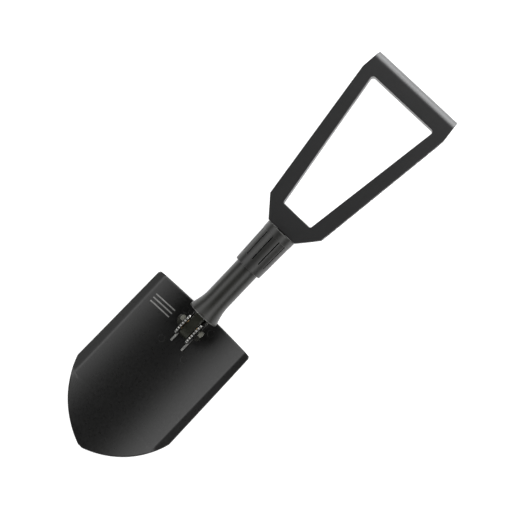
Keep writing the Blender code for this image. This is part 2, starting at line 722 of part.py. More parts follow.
def make_collar(body):
    shape = bmesh.new()
    chamfer = 0.8 * MM
    outer = [(COLLAR_START, COLLAR_RADIUS_START - chamfer)]
    outer += [(COLLAR_START + chamfer, collar_radius(COLLAR_START + chamfer))]
    outer += [(COLLAR_END - chamfer, collar_radius(COLLAR_END - chamfer))]
    outer += [(COLLAR_END, COLLAR_RADIUS_END - chamfer), (COLLAR_END, CUP_RADIUS)]
    bore = COLLAR_BORE
    outer += [(COLLAR_END - CUP_DEPTH, CUP_RADIUS), (COLLAR_END - CUP_DEPTH, bore)]
    rings = [ring(shape, reach, radius, ROUND) for reach, radius in outer]
    for first, second in zip(rings, rings[1:]):
        skin(shape, first, second)
    half = THREAD_LEAD / 2
    offsets = (0.0, half - THREAD_DEPTH + THREAD_FIT, half + THREAD_FIT, THREAD_LEAD - THREAD_DEPTH - THREAD_FIT)
    start = THREAD_START + THREAD_LEAD * (COLLAR_TRAVEL // THREAD_LEAD)
    seal = COLLAR_START + SEAL_INSET
    seal_bore = bore + 2 * SEAL_RADIUS + GAP / 2
    lower_part = [(COLLAR_START, bore), (seal - SEAL_RADIUS - GAP, bore)]
    lower_part += [(seal - SEAL_RADIUS - GAP, seal_bore), (seal + SEAL_RADIUS + GAP, seal_bore)]
    lower_part += [(seal + SEAL_RADIUS + GAP, bore), (start - 1 * MM, bore)]
    lower_rings = [ring(shape, reach, radius, ROUND) for reach, radius in lower_part]
    for first, second in zip(lower_rings, lower_rings[1:]):
        skin(shape, first, second)
    skin(shape, rings[0], lower_rings[0])
    upper = ring(shape, COLLAR_END - CUP_DEPTH - 1 * MM, bore, ROUND)
    threaded_skin(shape, lower_rings[-1], upper, start, RIDGE_ROWS, offsets, ridge_radius)
    skin(shape, upper, rings[-1])
    collar = new_object("locking_collar", shape, grey_aluminium(), body)
    cut(collar, collar_slots(), "collar_slots")


def collar_slots():
    """Narrow grip slots along the collar, which follow its taper."""
    shape = bmesh.new()
    start = COLLAR_START + SLOT_INSET_START
    end = COLLAR_END - SLOT_INSET_END
    for i in range(SLOT_COUNT):
        slot = bmesh.new()
        depth = SLOT_DEPTH
        outline = [(start, collar_radius(start) - depth), (end, collar_radius(end) - depth)]
        outline += [(end, collar_radius(end) + 5 * MM), (start, collar_radius(start) + 5 * MM)]
        prism(slot, outline, "Y", -SLOT_WIDTH / 2, SLOT_WIDTH / 2)
        slot.transform(Matrix.Rotation(2 * math.pi * (i + 0.5) / SLOT_COUNT, 4, "X"))
        join(shape, slot)
    return shape


def make_seal(body):
    """Rubber ring in the collar's groove, which keeps grit out of the thread."""
    centre = COLLAR_BORE + SEAL_RADIUS
    reach = COLLAR_START + SEAL_INSET
    profile = [(reach + a, centre + b) for a, b in arc((0, 0), SEAL_RADIUS, 0, 315, 7)]
    new_object("collar_seal", turned(profile), black_rubber(), body)


def make_thrust_ring(body):
    outer = CUP_RADIUS - GAP
    start = THRUST_END - THRUST_RING
    shape = turned([(start, outer), (THRUST_END, outer)], closed=False)
    thrust = new_object("thrust_ring", shape, black_nylon(), body)
    window = bmesh.new()
    link_window(window, start - 5 * MM, THRUST_END + 5 * MM)
    cut(thrust, window, "thrust_window")


# ------------------------------------------------------------------ handle

def frame_outline():
    """Front view of the handle's outer edge, going round from the base."""
    half = [(HANDLE_START, BASE_HALF_WIDTH), (CORNER_REACH, CORNER_HALF_WIDTH)]
    half += [(OPENING_END, GRIP_HALF_LENGTH), (GRIP_END, GRIP_HALF_LENGTH - GRIP_END_TAPER)]
    return half + [(x, -y) for x, y in reversed(half)]


def rounded(points, radius, steps=4):
    """Round the corners of an outline."""
    result = []
    count = len(points)
    for i in range(count):
        corner = Vector(points[i])
        back = (Vector(points[i - 1]) - corner).normalized()
        ahead = (Vector(points[(i + 1) % count]) - corner).normalized()
        half_angle = back.angle(ahead) / 2
        reach = radius / math.tan(half_angle)
        centre = corner + (back + ahead).normalized() * radius / math.sin(half_angle)
        first = corner + back * reach - centre
        last = corner + ahead * reach - centre
        for k in range(steps + 1):
            mixed = first.lerp(last, k / steps).normalized() * radius
            result.append(tuple(centre + mixed))
    return result


def grip_cutters():
    """What is cut away to leave a grip with a half-round outer side and eased inner corners."""
    shape = bmesh.new()
    centre = GRIP_END - HANDLE_HALF_THICK
    high = 20 * MM
    outline = arc((centre, 0), HANDLE_HALF_THICK, -90, 90, 16)
    outline += [(centre, high), (GRIP_END + high, high), (GRIP_END + high, -high), (centre, -high)]
    prism(shape, outline, "Y", -2 * GRIP_HALF_LENGTH, 2 * GRIP_HALF_LENGTH)
    return shape


def opening_shape():
    shape = bmesh.new()
    points = [(OPENING_START, -OPENING_START_HALF), (OPENING_END, -OPENING_END_HALF)]
    points += [(OPENING_END, OPENING_END_HALF), (OPENING_START, OPENING_START_HALF)]
    prism(shape, rounded(points, OPENING_CORNER), "Z", -30 * MM, 30 * MM)
    return shape


def pocket_shape():
    """Open cells along the outer side of both rails, with cross ribs between."""
    shape = bmesh.new()
    start = Vector((CORNER_REACH, CORNER_HALF_WIDTH))
    end = Vector((OPENING_END, GRIP_HALF_LENGTH))
    along = (end - start).normalized()
    outward = Vector((-along.y, along.x))
    pitch = ((end - start).length - POCKET_FIRST - POCKET_LAST) / POCKET_COUNT
    for i in range(POCKET_COUNT):
        near = start + along * (POCKET_FIRST + i * pitch + POCKET_RIB / 2)
        far = start + along * (POCKET_FIRST + (i + 1) * pitch - POCKET_RIB / 2)
        base = -outward * POCKET_DEPTH
        top = outward * 5 * MM
        outline = [near + base, far + base, far + top, near + top]
        for side in (-1, 1):
            points = [(p.x, p.y * side) for p in outline]
            prism(shape, points, "Z", -POCKET_HALF_HEIGHT, POCKET_HALF_HEIGHT)
    return shape


def knuckle_cutters():
    """Clear the back of the shoulder to an arc about the pin, so that the collar can pass."""
    shape = bmesh.new()
    pin = HANDLE_PIN_REACH
    deep = -30 * MM
    base = arc((pin, 0), KNUCKLE_RADIUS, 180, 270, 8)
    base += [(pin, deep), (HANDLE_START - 10 * MM, deep), (HANDLE_START - 10 * MM, 0)]
    prism(shape, base, "Y", -60 * MM, 60 * MM)
    inner = arc((pin, 0), KNUCKLE_RADIUS, 270, 360, 8)
    inner += [(OPENING_START + 5 * MM, 0), (OPENING_START + 5 * MM, deep), (pin, deep)]
    prism(shape, inner, "Y", -OPENING_START_HALF, OPENING_START_HALF)
    return shape


def make_handle(body):
    shape = bmesh.new()
    prism(shape, frame_outline(), "Z", -HANDLE_HALF_THICK, HANDLE_HALF_THICK)
    rims = [e for e in shape.edges if abs(e.verts[0].co.z - e.verts[1].co.z) < 1e-6]
    bmesh.ops.bevel(shape, geom=rims, offset=EDGE_BEVEL, segments=1, affect="EDGES")
    handle = new_object("handle_frame", shape, black_nylon(), body)
    cut(handle, opening_shape(), "hand_opening")
    cut(handle, grip_cutters(), "grip_rounding")
    cut(handle, pocket_shape(), "side_pockets")
    cut(handle, knuckle_cutters(), "knuckle")
    slot = bmesh.new()
    half = LINK_HALF_THICK + SLOT_SIDE_FIT
    box(slot, (HANDLE_START - 10 * MM, -half, -30 * MM), (OPENING_START + 5 * MM, half, SLOT_CEILING))
    cut(handle, slot, "link_slot")
    bores = cross_bore(PIN_RADIUS + GAP, HANDLE_PIN_REACH, -60 * MM, 60 * MM)
    cut(handle, bores, "pin_bore")
    pockets = bmesh.new()
    for low, high in ((PIN_SEAT, 60 * MM), (-60 * MM, -PIN_SEAT)):
        join(pockets, cross_bore(PIN_POCKET_RADIUS, HANDLE_PIN_REACH, low, high))
    cut(handle, pockets, "pin_pockets")


def make_handle_pin(body):
    seat = PIN_SEAT + GAP
    clip_start = seat + PIN_WASHER + GAP
    groove = PIN_RADIUS - 0.7 * MM
    profile = [(-seat - PIN_HEAD, PIN_HEAD_RADIUS - 0.6 * MM), (-seat - PIN_HEAD + 0.6 * MM, PIN_HEAD_RADIUS)]
    profile += [(-seat, PIN_HEAD_RADIUS), (-seat, PIN_RADIUS), (clip_start - GAP, PIN_RADIUS)]
    profile += [(clip_start - GAP, groove), (clip_start + CLIP + GAP, groove)]
    profile += [(clip_start + CLIP + GAP, PIN_RADIUS), (clip_start + CLIP + 1.5 * MM, PIN_RADIUS)]
    profile += [(clip_start + CLIP + 2 * MM, PIN_RADIUS - 0.5 * MM)]
    shape = turned(profile, SMALL_ROUND, closed=False)
    new_object("handle_pin", turn_to(shape, (0, 1, 0), (HANDLE_PIN_REACH, 0, 0)), black_steel(), body)
    washer = washer_shape(PIN_HEAD_RADIUS + 0.6 * MM, seat, PIN_WASHER, PIN_RADIUS + GAP, HANDLE_PIN_REACH)
    new_object("handle_pin_washer", washer, black_steel(), body)
    outline = arc((HANDLE_PIN_REACH, 0), PIN_HEAD_RADIUS - 0.4 * MM, 25, 335, 20)
    outline += arc((HANDLE_PIN_REACH, 0), groove + GAP, 335, 25, 20)
    clip = bmesh.new()
    prism(clip, outline, "Y", clip_start, clip_start + CLIP)
    new_object("handle_pin_clip", clip, black_steel(), body)


def build():
    clear_scene()
    blade_body = pivot("blade_pivot", 0.0)
    tube_body = pivot("tube_slider", RIM_REACH)
    collar_body = pivot("collar_pivot", COLLAR_START)
    ring_body = pivot("thrust_slider", COLLAR_END)
    handle_body = pivot("handle_pivot", HANDLE_PIN_REACH)
    make_blade(blade_body)
    make_bracket(blade_body)
    make_rivets(blade_body)
    make_hinge_hardware(blade_body)
    make_link()
    make_bushes()
    make_tube(tube_body)
    make_collar(collar_body)
    make_seal(collar_body)
    make_thrust_ring(ring_body)
    make_handle(handle_body)
    make_handle_pin(handle_body)


AXIS_Z = lowest_point()
build()
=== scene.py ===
"""Looks of the tri-fold camp shovel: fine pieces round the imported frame, materials, light and camera.

Lengths are in metres. Shapes are drawn from the blade hinge's axis, with x along the shaft and z up,
and then placed in the frame's own coordinates.
"""
import json
import math

import bmesh
import bpy
from mathutils import Matrix, Vector


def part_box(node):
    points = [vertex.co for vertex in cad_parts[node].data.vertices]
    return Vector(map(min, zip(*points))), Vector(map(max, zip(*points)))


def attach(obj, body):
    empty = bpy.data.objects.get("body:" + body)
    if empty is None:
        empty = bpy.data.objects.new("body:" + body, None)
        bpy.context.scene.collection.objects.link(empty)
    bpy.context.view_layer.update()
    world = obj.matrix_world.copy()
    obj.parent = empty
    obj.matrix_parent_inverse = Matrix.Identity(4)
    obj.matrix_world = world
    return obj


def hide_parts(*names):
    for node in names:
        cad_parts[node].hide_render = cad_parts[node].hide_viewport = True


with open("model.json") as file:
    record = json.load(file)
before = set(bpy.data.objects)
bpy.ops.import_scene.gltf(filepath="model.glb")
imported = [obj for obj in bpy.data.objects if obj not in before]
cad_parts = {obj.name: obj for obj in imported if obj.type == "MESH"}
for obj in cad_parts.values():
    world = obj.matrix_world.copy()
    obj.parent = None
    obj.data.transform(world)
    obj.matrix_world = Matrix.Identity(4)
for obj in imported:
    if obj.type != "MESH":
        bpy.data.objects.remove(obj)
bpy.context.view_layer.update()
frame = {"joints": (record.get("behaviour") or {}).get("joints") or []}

MM = 0.001
GAP = 0.3 * MM


# ---------------- places from the frame

def joint_place(name):
    found = next(joint for joint in frame["joints"] if joint["name"] == name)
    return Vector(found["pos_m"])


def span(node, axis):
    """Lowest and highest place of a CAD node along one axis, from the blade hinge's axis."""
    low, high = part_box(node)
    return low[axis] - AXIS[axis], high[axis] - AXIS[axis]


AXIS = joint_place("blade_fold")
PIN_REACH = joint_place("handle_fold").x - AXIS.x

BLADE_X = span("blade", 0)
TIP_REACH = -BLADE_X[0]
REAR_REACH = BLADE_X[1]
SHOULDER_HALF_WIDTH = span("blade", 1)[1]
LINK_HALF_THICK = span("shaft_link", 1)[1]
LINK_DISC = -span("shaft_link", 0)[0]
TUBE_X = span("flared_tube", 0)
RIM_RADIUS = span("flared_tube", 1)[1]
COLLAR_X = span("locking_collar", 0)
COLLAR_RADIUS_END = span("locking_collar", 1)[1]
HANDLE_X = span("handle_frame", 0)
HANDLE_HALF_THICK = span("handle_frame", 2)[1]
GRIP_HALF_LENGTH = span("handle_frame", 1)[1]
BRACKET_X = span("hinge_bracket", 0)

# ---- form of the blade
SHOULDER_REACH = 120.6 * MM
REAR_NARROWING = 2.3 * MM
POINT_RADIUS = 118 * MM
TIP_HALF_WIDTH = 1.5 * MM
BLADE_SHEET = 2.0 * MM
BLADE_DROP = 24.6 * MM
DISH_RADIUS = 218 * MM
STRIP_WIDTH = 11 * MM
STRIP_SLOPE = 0.70
BEND_SOFTNESS = 0.55 * MM
TIP_LIFT = 8 * MM
TIP_LIFT_START = 60 * MM
REAR_LIP = 3.6 * MM
REAR_LIP_DROP = 1.0 * MM
REAR_CORNER = 4 * MM
BEND_LINE = SHOULDER_HALF_WIDTH - STRIP_WIDTH

# ---- form of the hinge
EAR_RADIUS = 20.4 * MM
TOOTH_DEPTH = 1.8 * MM
TOOTH_COUNT = 8
TOOTH_ARC = (48.0, 142.0)
STOP_TOP = -2 * MM
EAR_THICKNESS = 2.5 * MM
EAR_INNER = LINK_HALF_THICK + 1.45 * MM
EAR_FOOT_REACH = 32 * MM
EAR_EDGE = 0.3 * MM
BRACKET_SHEET = 2.5 * MM
BRACKET_HALF_WIDTH = 29 * MM
RIVET_RADIUS = 2.5 * MM
RIVET_HEAD_RADIUS = 4.2 * MM
RIVET_HEAD = 1.6 * MM
RIVET_DOME = 1.8 * MM
RIVET_SINK = 0.04 * MM
RIVET_FIT = 0.06 * MM
RIVET_PLACES = ((-38 * MM, 19 * MM), (8 * MM, 21 * MM))
BOLT_RADIUS = 4 * MM
BOLT_PITCH = 1.25 * MM
HEX_ACROSS = 13 * MM
LINK_HALF_HEIGHT = 7 * MM
LINK_SHOULDER = (24 * MM, 35 * MM)

# ---- form of the shaft, the collar and the handle
TUBE_RADIUS = 15.5 * MM
TUBE_BORE = 12.6 * MM
RIM_WALL = 1.8 * MM
FLARE_LENGTH = 24.5 * MM
THREAD_LEAD = 8 * MM
THREAD_DEPTH = 1.0 * MM
THREAD_FIT = 0.4 * MM
THREAD_RAMP = 0.15
COLLAR_RADIUS_START = 18.4 * MM
SLOT_COUNT = 12
SLOT_PHASE = 9 / 360
SLOT_WIDTH = 1.3 * MM
SLOT_DEPTH = 1.5 * MM
SLOT_WALL = 0.12 * MM
SLOT_INSETS = (12.5 * MM, 10.5 * MM)
PANEL_STEP = 0.35 * MM
CUP_RADIUS = 17 * MM
CUP_DEPTH = 11.5 * MM
SEAL_RADIUS = 0.7 * MM
SEAL_INSET = 2.6 * MM
RIDGE_TURNS = 1.2
COLLAR_TRAVEL = 14 * MM
BASE_HALF_WIDTH = 21 * MM
CORNER = (182.1 * MM, 41.3 * MM)
OPENING_START = 184.3 * MM
OPENING_START_HALF = 21.9 * MM
OPENING_END_HALF = 48.8 * MM
GRIP_DEPTH = 27 * MM
GRIP_END_TAPER = 2.9 * MM
HANDLE_EDGE = 0.8 * MM
POCKET_COUNT = 10
POCKET_RIB = 2.2 * MM
POCKET_DEPTH = 4.5 * MM
POCKET_HALF_HEIGHT = 6.4 * MM
PIN_RADIUS = 3.5 * MM
PIN_HEAD_RADIUS = 6 * MM
PIN_SEAT = 24 * MM
PIN_POCKET_RADIUS = 7.5 * MM
OPENING_END = HANDLE_X[1] - GRIP_DEPTH
KNUCKLE_RADIUS = PIN_REACH - COLLAR_X[1] - 0.5 * MM


# ---------------- mesh helpers

def add_object(name, data):
    made = bpy.data.objects.new(name, data)
    bpy.context.scene.collection.objects.link(made)
    return made


def as_object(name, shape, sharp=30):
    """Turn a bmesh drawn from the hinge axis into an object in the frame's coordinates."""
    bmesh.ops.recalc_face_normals(shape, faces=shape.faces)
    mesh = bpy.data.meshes.new(name)
    shape.to_mesh(mesh)
    shape.free()
    mesh.transform(Matrix.Translation((AXIS.x, AXIS.y, AXIS.z)))
    made = add_object(name, mesh)
    made["sharp"] = sharp
    return made


def carve(target, shape, operation="DIFFERENCE"):
    """Cut, add or intersect a bmesh and keep only the result."""
    tool = as_object("tool", shape)
    step = target.modifiers.new("carve", "BOOLEAN")
    step.object = tool
    step.operation = operation
    step.solver = "EXACT"
    bpy.context.view_layer.update()
    depsgraph = bpy.context.evaluated_depsgraph_get()
    mesh = bpy.data.meshes.new_from_object(target.evaluated_get(depsgraph))
    target.modifiers.clear()
    old = target.data
    target.data = mesh
    mesh.name = target.name
    bpy.data.meshes.remove(old)
    bpy.data.objects.remove(tool)


def show(piece, finish, body, slot, *nodes):
    """Shade a finished piece, give it its material, and let it stand for its CAD nodes."""
    mesh = piece.data
    mesh.shade_smooth()
    mesh.set_sharp_from_angle(angle=math.radians(piece["sharp"]))
    del piece["sharp"]
    mesh.materials.clear()
    mesh.materials.append(finish)
    even = piece.modifiers.new("even_shading", "WEIGHTED_NORMAL")
    even.keep_sharp = True
    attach(piece, body)
    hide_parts(*nodes)
    return piece


def ring(shape, points):
    return [shape.verts.new(point) for point in points]


def skin(shape, first, second):
    count = len(first)
    for j in range(count):
        k = (j + 1) % count
        shape.faces.new((first[j], first[k], second[k], second[j]))


def loft(shape, rings, closed=False):
    """Join rings of points in order, and cap the ends or close the run on itself."""
    made = [ring(shape, points) for points in rings]
    for first, second in zip(made, made[1:]):
        skin(shape, first, second)
    if closed:
        skin(shape, made[-1], made[0])
    else:
        shape.faces.new(made[0])
        shape.faces.new(made[-1])
    return shape


def evenly(sides):
    return [j / sides for j in range(sides)]


def circle(reach, radius, turns):
    """Points of a ring at given shares of a turn; the radius may be a function of the share."""
    points = []
    for turn in turns:
        here = radius(turn) if callable(radius) else radius
        angle = 2 * math.pi * turn
        points.append((reach, here * math.cos(angle), here * math.sin(angle)))
    return points


def turned(profile, sides=96, closed=True):
    """Body turned about the shaft's axis from (reach, radius) points."""
    return loft(bmesh.new(), [circle(reach, radius, evenly(sides)) for reach, radius in profile], closed)


def turn_to(shape, direction, place):
    spin = Vector((1, 0, 0)).rotation_difference(Vector(direction)).to_matrix().to_4x4()
    shape.transform(Matrix.Translation(place) @ spin)
    return shape


def turned_across(profile, reach=0.0, sides=64, closed=False):
    """Body turned about a line along Y from (place along Y, radius) points."""
    return turn_to(turned(profile, sides, closed), (0, 1, 0), (reach, 0, 0))


def rod(radius, reach, low, high, sides=64):
    return turned_across([(low, radius), (high, radius)], reach, sides)


def arc(centre, radius, start, end, steps):
    """Points on an arc, angles in degrees."""
    points = []
    for i in range(steps + 1):
        turn = math.radians(start + (end - start) * i / steps)
        points.append((centre[0] + radius * math.cos(turn), centre[1] + radius * math.sin(turn)))
    return points


def rounded(points, radii, steps=6):
    """Round the corners of a convex outline, each by its own radius."""
    result = []
    count = len(points)
    for i in range(count):
        corner = Vector(points[i])
        back = (Vector(points[i - 1]) - corner).normalized()
        ahead = (Vector(points[(i + 1) % count]) - corner).normalized()
        half_angle = back.angle(ahead) / 2
        radius = radii[i % len(radii)]
        reach = radius / math.tan(half_angle)
        centre = corner + (back + ahead).normalized() * radius / math.sin(half_angle)
        first = corner + back * reach - centre
        last = corner + ahead * reach - centre
        for k in range(steps + 1):
            mixed = first.lerp(last, k / steps).normalized() * radius
            result.append(tuple(centre + mixed))
    return result


def grown(points, distance):
    """Outline moved outwards by a distance; it runs anticlockwise."""
    result = []
    count = len(points)
    for i in range(count):
        here = Vector(points[i])
        back = (here - Vector(points[i - 1])).normalized()
        ahead = (Vector(points[(i + 1) % count]) - here).normalized()
        normals = Vector((back.y, -back.x)), Vector((ahead.y, -ahead.x))
        middle = (normals[0] + normals[1]).normalized()
        result.append(tuple(here + middle * distance / max(0.3, middle.dot(normals[0]))))
    return result


def anticlockwise(points):
    doubled = sum(a[0] * b[1] - b[0] * a[1] for a, b in zip(points, points[1:] + points[:1]))
    return points if doubled > 0 else points[::-1]


def on_axis(axis, point, level):
    """Axis Y takes (x, z) points, axis Z takes (x, y) and axis X takes (y, z)."""
    if axis == "Y":
        return (point[0], level, point[1])
    if axis == "Z":
        return (point[0], point[1], level)
    return (level, point[0], point[1])


def stack(outline, axis, levels):
    """Body from an outline and (level, growth) pairs along an axis."""
    outline = anticlockwise(outline)
    rings = [[on_axis(axis, p, level) for p in grown(outline, growth)] for level, growth in levels]
    return loft(bmesh.new(), rings)


def eased_levels(low, high, edge, steps=3):
    """Levels of a plate whose rims are rounded by edge."""
    turns = [math.pi / 2 * i / steps for i in range(steps + 1)]
    lower = [(low + edge * (1 - math.cos(t)), -edge * (1 - math.sin(t))) for t in turns]
    upper = [(high - edge * (1 - math.cos(t)), -edge * (1 - math.sin(t))) for t in reversed(turns)]
    return lower + upper


def mouth_levels(face, edge, sign, beyond=5 * MM, steps=3):
    """Levels of a cutter that leaves a rounded edge where it passes through a face."""
    turns = [math.pi / 2 * i / steps for i in range(steps + 1)]
    run = [(face - sign * edge * (1 - math.sin(t)), edge * (1 - math.cos(t))) for t in turns]
    return run[:-1] + [(face + sign * 0.05 * edge, 1.05 * edge), (face + sign * beyond, 1.05 * edge)]


def through_levels(low, high, edge):
    return mouth_levels(low, edge, -1)[::-1] + mouth_levels(high, edge, 1)


def plate(outline, axis, low, high, edge):
    return stack(outline, axis, eased_levels(low, high, edge))


def rectangle(low, high):
    return [low, (high[0], low[1]), high, (low[0], high[1])]


def straight(outline, axis, low, high):
    return stack(outline, axis, [(low, 0.0), (high, 0.0)])


def prism(outline, low, high):
    """Body of any outline of (x, z) points run along Y, and its two end faces."""
    shape = bmesh.new()
    ends = [ring(shape, [on_axis("Y", p, level) for p in outline]) for level in (low, high)]
    skin(shape, *ends)
    return shape, [shape.faces.new(end) for end in ends]


def ramp(value, start, end):
    return min(1.0, max(0.0, (value - start) / (end - start)))


# ---------------- materials

class Nodes:
    """A material under construction."""

    def __init__(self, name):
        self.material = bpy.data.materials.new(name)
        self.material.use_nodes = True
        self.tree = self.material.node_tree
        self.shader = self.tree.nodes["Principled BSDF"]
        self.place = self.add("ShaderNodeTexCoord").outputs["Object"]

    def add(self, kind, **values):
        made = self.tree.nodes.new(kind)
        for key, value in values.items():
            setattr(made, key, value)
        return made

    def link(self, source, target):
        self.tree.links.new(source, target)

    def noise(self, scale, detail=3.0, roughness=0.5, stretch=None):
        made = self.add("ShaderNodeTexNoise")
        made.inputs["Scale"].default_value = scale
        made.inputs["Detail"].default_value = detail
        made.inputs["Roughness"].default_value = roughness
        source = self.place
        if stretch:
            mapping = self.add("ShaderNodeMapping")
            mapping.inputs["Scale"].default_value = stretch
            self.link(source, mapping.inputs["Vector"])
            source = mapping.outputs["Vector"]
        self.link(source, made.inputs["Vector"])
        return made.outputs["Fac"]

    def feed(self, socket, value):
        """Give an input a number, a colour or another node's output."""
        if isinstance(value, bpy.types.NodeSocket):
            self.link(value, socket)
        else:
            socket.default_value = (*value, 1) if isinstance(value, tuple) else value

    def along(self, axis):
        """One coordinate of the place."""
        split = self.add("ShaderNodeSeparateXYZ")
        self.link(self.place, split.inputs[0])
        return split.outputs[axis]

    def math(self, operation, first, second, clamp=False):
        made = self.add("ShaderNodeMath", operation=operation, use_clamp=clamp)
        self.feed(made.inputs[0], first)
        self.feed(made.inputs[1], second)
        return made.outputs[0]

    def within(self, source, low, high):
        """1 between two values and 0 outside them."""
        inside = self.math("COMPARE", source, (low + high) / 2)
        inside.node.inputs[2].default_value = (high - low) / 2
        return inside

    def spread(self, source, from_low, from_high, low, high):
        made = self.add("ShaderNodeMapRange")
        self.link(source, made.inputs["Value"])
        ends = (from_low, from_high, low, high)
        for key, value in zip(("From Min", "From Max", "To Min", "To Max"), ends):
            made.inputs[key].default_value = value
        return made.outputs["Result"]

    def vary(self, noise, low, high):
        """Numbers that follow a noise over the part of its range that it fills."""
        return self.spread(noise, 0.3, 0.7, low, high)

    def mix(self, share, first, second):
        """Blend two colours by a socket."""
        made = self.add("ShaderNodeMix", data_type="RGBA")
        for number, value in ((0, share), (6, first), (7, second)):
            self.feed(made.inputs[number], value)
        return made.outputs[2]

    def blend(self, share, first, second):
        """Blend two numbers or sockets by a socket."""
        made = self.add("ShaderNodeMix", data_type="FLOAT")
        for number, value in ((0, share), (2, first), (3, second)):
            self.feed(made.inputs[number], value)
        return made.outputs[0]

    def clouded(self, noise, colour, dark, light):
        """The colour, from its dark to its light shade by a noise."""
        shades = [tuple(share * c for c in colour) for share in (dark, light)]
        return self.mix(self.vary(noise, 0.0, 1.0), *shades)

    def edges(self, radius, sharpness):
        """1 along hard edges and 0 on plain faces."""
        bevel = self.add("ShaderNodeBevel", samples=4)
        bevel.inputs["Radius"].default_value = radius
        plain = self.add("ShaderNodeNewGeometry").outputs["Normal"]
        dot = self.add("ShaderNodeVectorMath", operation="DOT_PRODUCT")
        self.link(bevel.outputs["Normal"], dot.inputs[0])
        self.link(plain, dot.inputs[1])
        return self.spread(dot.outputs["Value"], 1.0 - sharpness, 1.0, 1.0, 0.0)

    def relief(self, height, strength, distance, soft_edge=None):
        """Bump from a height socket, over softened hard edges if a radius is given."""
        bump = self.add("ShaderNodeBump")
        bump.inputs["Strength"].default_value = strength
        bump.inputs["Distance"].default_value = distance
        self.link(height, bump.inputs["Height"])
        if soft_edge:
            bevel = self.add("ShaderNodeBevel", samples=4)
            bevel.inputs["Radius"].default_value = soft_edge
            self.link(bevel.outputs["Normal"], bump.inputs["Normal"])
        self.link(bump.outputs["Normal"], self.shader.inputs["Normal"])

    def colour(self, socket):
        self.link(socket, self.shader.inputs["Base Color"])

    def roughness(self, socket):
        self.link(socket, self.shader.inputs["Roughness"])

    def metallic(self, socket):
        self.link(socket, self.shader.inputs["Metallic"])


def axis_distance(nodes, counted):
    """Distance from the hinge's centre, with only the axes that are counted."""
    moved = nodes.add("ShaderNodeVectorMath", operation="SUBTRACT")
    nodes.link(nodes.place, moved.inputs[0])
    moved.inputs[1].default_value = AXIS
    flat = nodes.add("ShaderNodeVectorMath", operation="MULTIPLY")
    nodes.link(moved.outputs[0], flat.inputs[0])
    flat.inputs[1].default_value = counted
    size = nodes.add("ShaderNodeVectorMath", operation="LENGTH")
    nodes.link(flat.outputs[0], size.inputs[0])
    return size.outputs["Value"]


def powder_coat(name, colour, roughness, wear_colour, wear_radius, wear_amount, extra_wear=None,
                mark=None):
    """Black powder coat: fine orange peel, faint cloudiness, coat thinned or rubbed off along edges."""
    nodes = Nodes(name)
    cloud = nodes.noise(26, 4, 0.6)
    peel = nodes.noise(1400, 2, 0.5)
    dust = nodes.noise(330, 5, 0.7)
    base = nodes.clouded(cloud, colour, 0.8, 1.25)
    chips = nodes.spread(nodes.noise(210, 6, 0.65), 0.47, 0.6, 0.0, 1.0)
    wear = nodes.math("MULTIPLY", nodes.edges(wear_radius, 0.22), wear_amount)
    wear = nodes.math("MULTIPLY", wear, nodes.spread(chips, 0.0, 1.0, 0.35, 1.0), clamp=True)
    if extra_wear:
        wear = nodes.math("MAXIMUM", wear, extra_wear(nodes, chips))
    coat = nodes.mix(wear, base, wear_colour)
    if mark:
        coat = nodes.mix(mark(nodes), coat, MARK_COLOUR)
    nodes.colour(coat)
    nodes.roughness(nodes.blend(wear, nodes.vary(dust, roughness - 0.04, roughness + 0.05), 0.34))
    nodes.metallic(nodes.blend(wear, 0.0, 0.9))
    height = nodes.math("ADD", nodes.math("MULTIPLY", peel, 0.7), nodes.math("MULTIPLY", dust, 0.5))
    nodes.relief(height, 0.25, 0.06 * MM, 0.35 * MM)
    return nodes.material


MARK_COLOUR = (0.16, 0.16, 0.155)
MARK_X = (-15.5 * MM, 0.5 * MM)
MARK_Y = (30 * MM, 60 * MM)
MARK_BARS = 3
MARK_SHARE = (0.34, 0.66)               # the inked part of each bar's pitch


def printed_bars(nodes):
    """Plain printed bars on the blade beside the hinge."""
    width = MARK_X[1] - MARK_X[0]
    along = nodes.math("SUBTRACT", nodes.along("X"), AXIS.x + MARK_X[0])
    phase = nodes.math("FRACT", nodes.math("DIVIDE", along, width / MARK_BARS), 0.0)
    printed = nodes.within(phase, *MARK_SHARE)
    faded = nodes.spread(nodes.noise(420, 4, 0.6), 0.3, 0.6, 0.55, 1.0)
    above = nodes.math("GREATER_THAN", nodes.along("Z"), AXIS.z - BLADE_DROP - BLADE_SHEET / 2)
    for limit in (nodes.within(along, 0.0, width), nodes.within(nodes.along("Y"), *MARK_Y), above, faded):
        printed = nodes.math("MULTIPLY", printed, limit)
    return printed


def tooth_wear(nodes, chips):
    """Everything from the teeth outwards rubbed bright: teeth, foot and back plate."""
    distance = axis_distance(nodes, (1, 0, 1))
    out = nodes.spread(distance, EAR_RADIUS - 1.5 * MM, EAR_RADIUS - 0.5 * MM, 0.0, 1.0)
    return nodes.math("MULTIPLY", out, nodes.spread(chips, 0.0, 1.0, 0.45, 0.95), clamp=True)


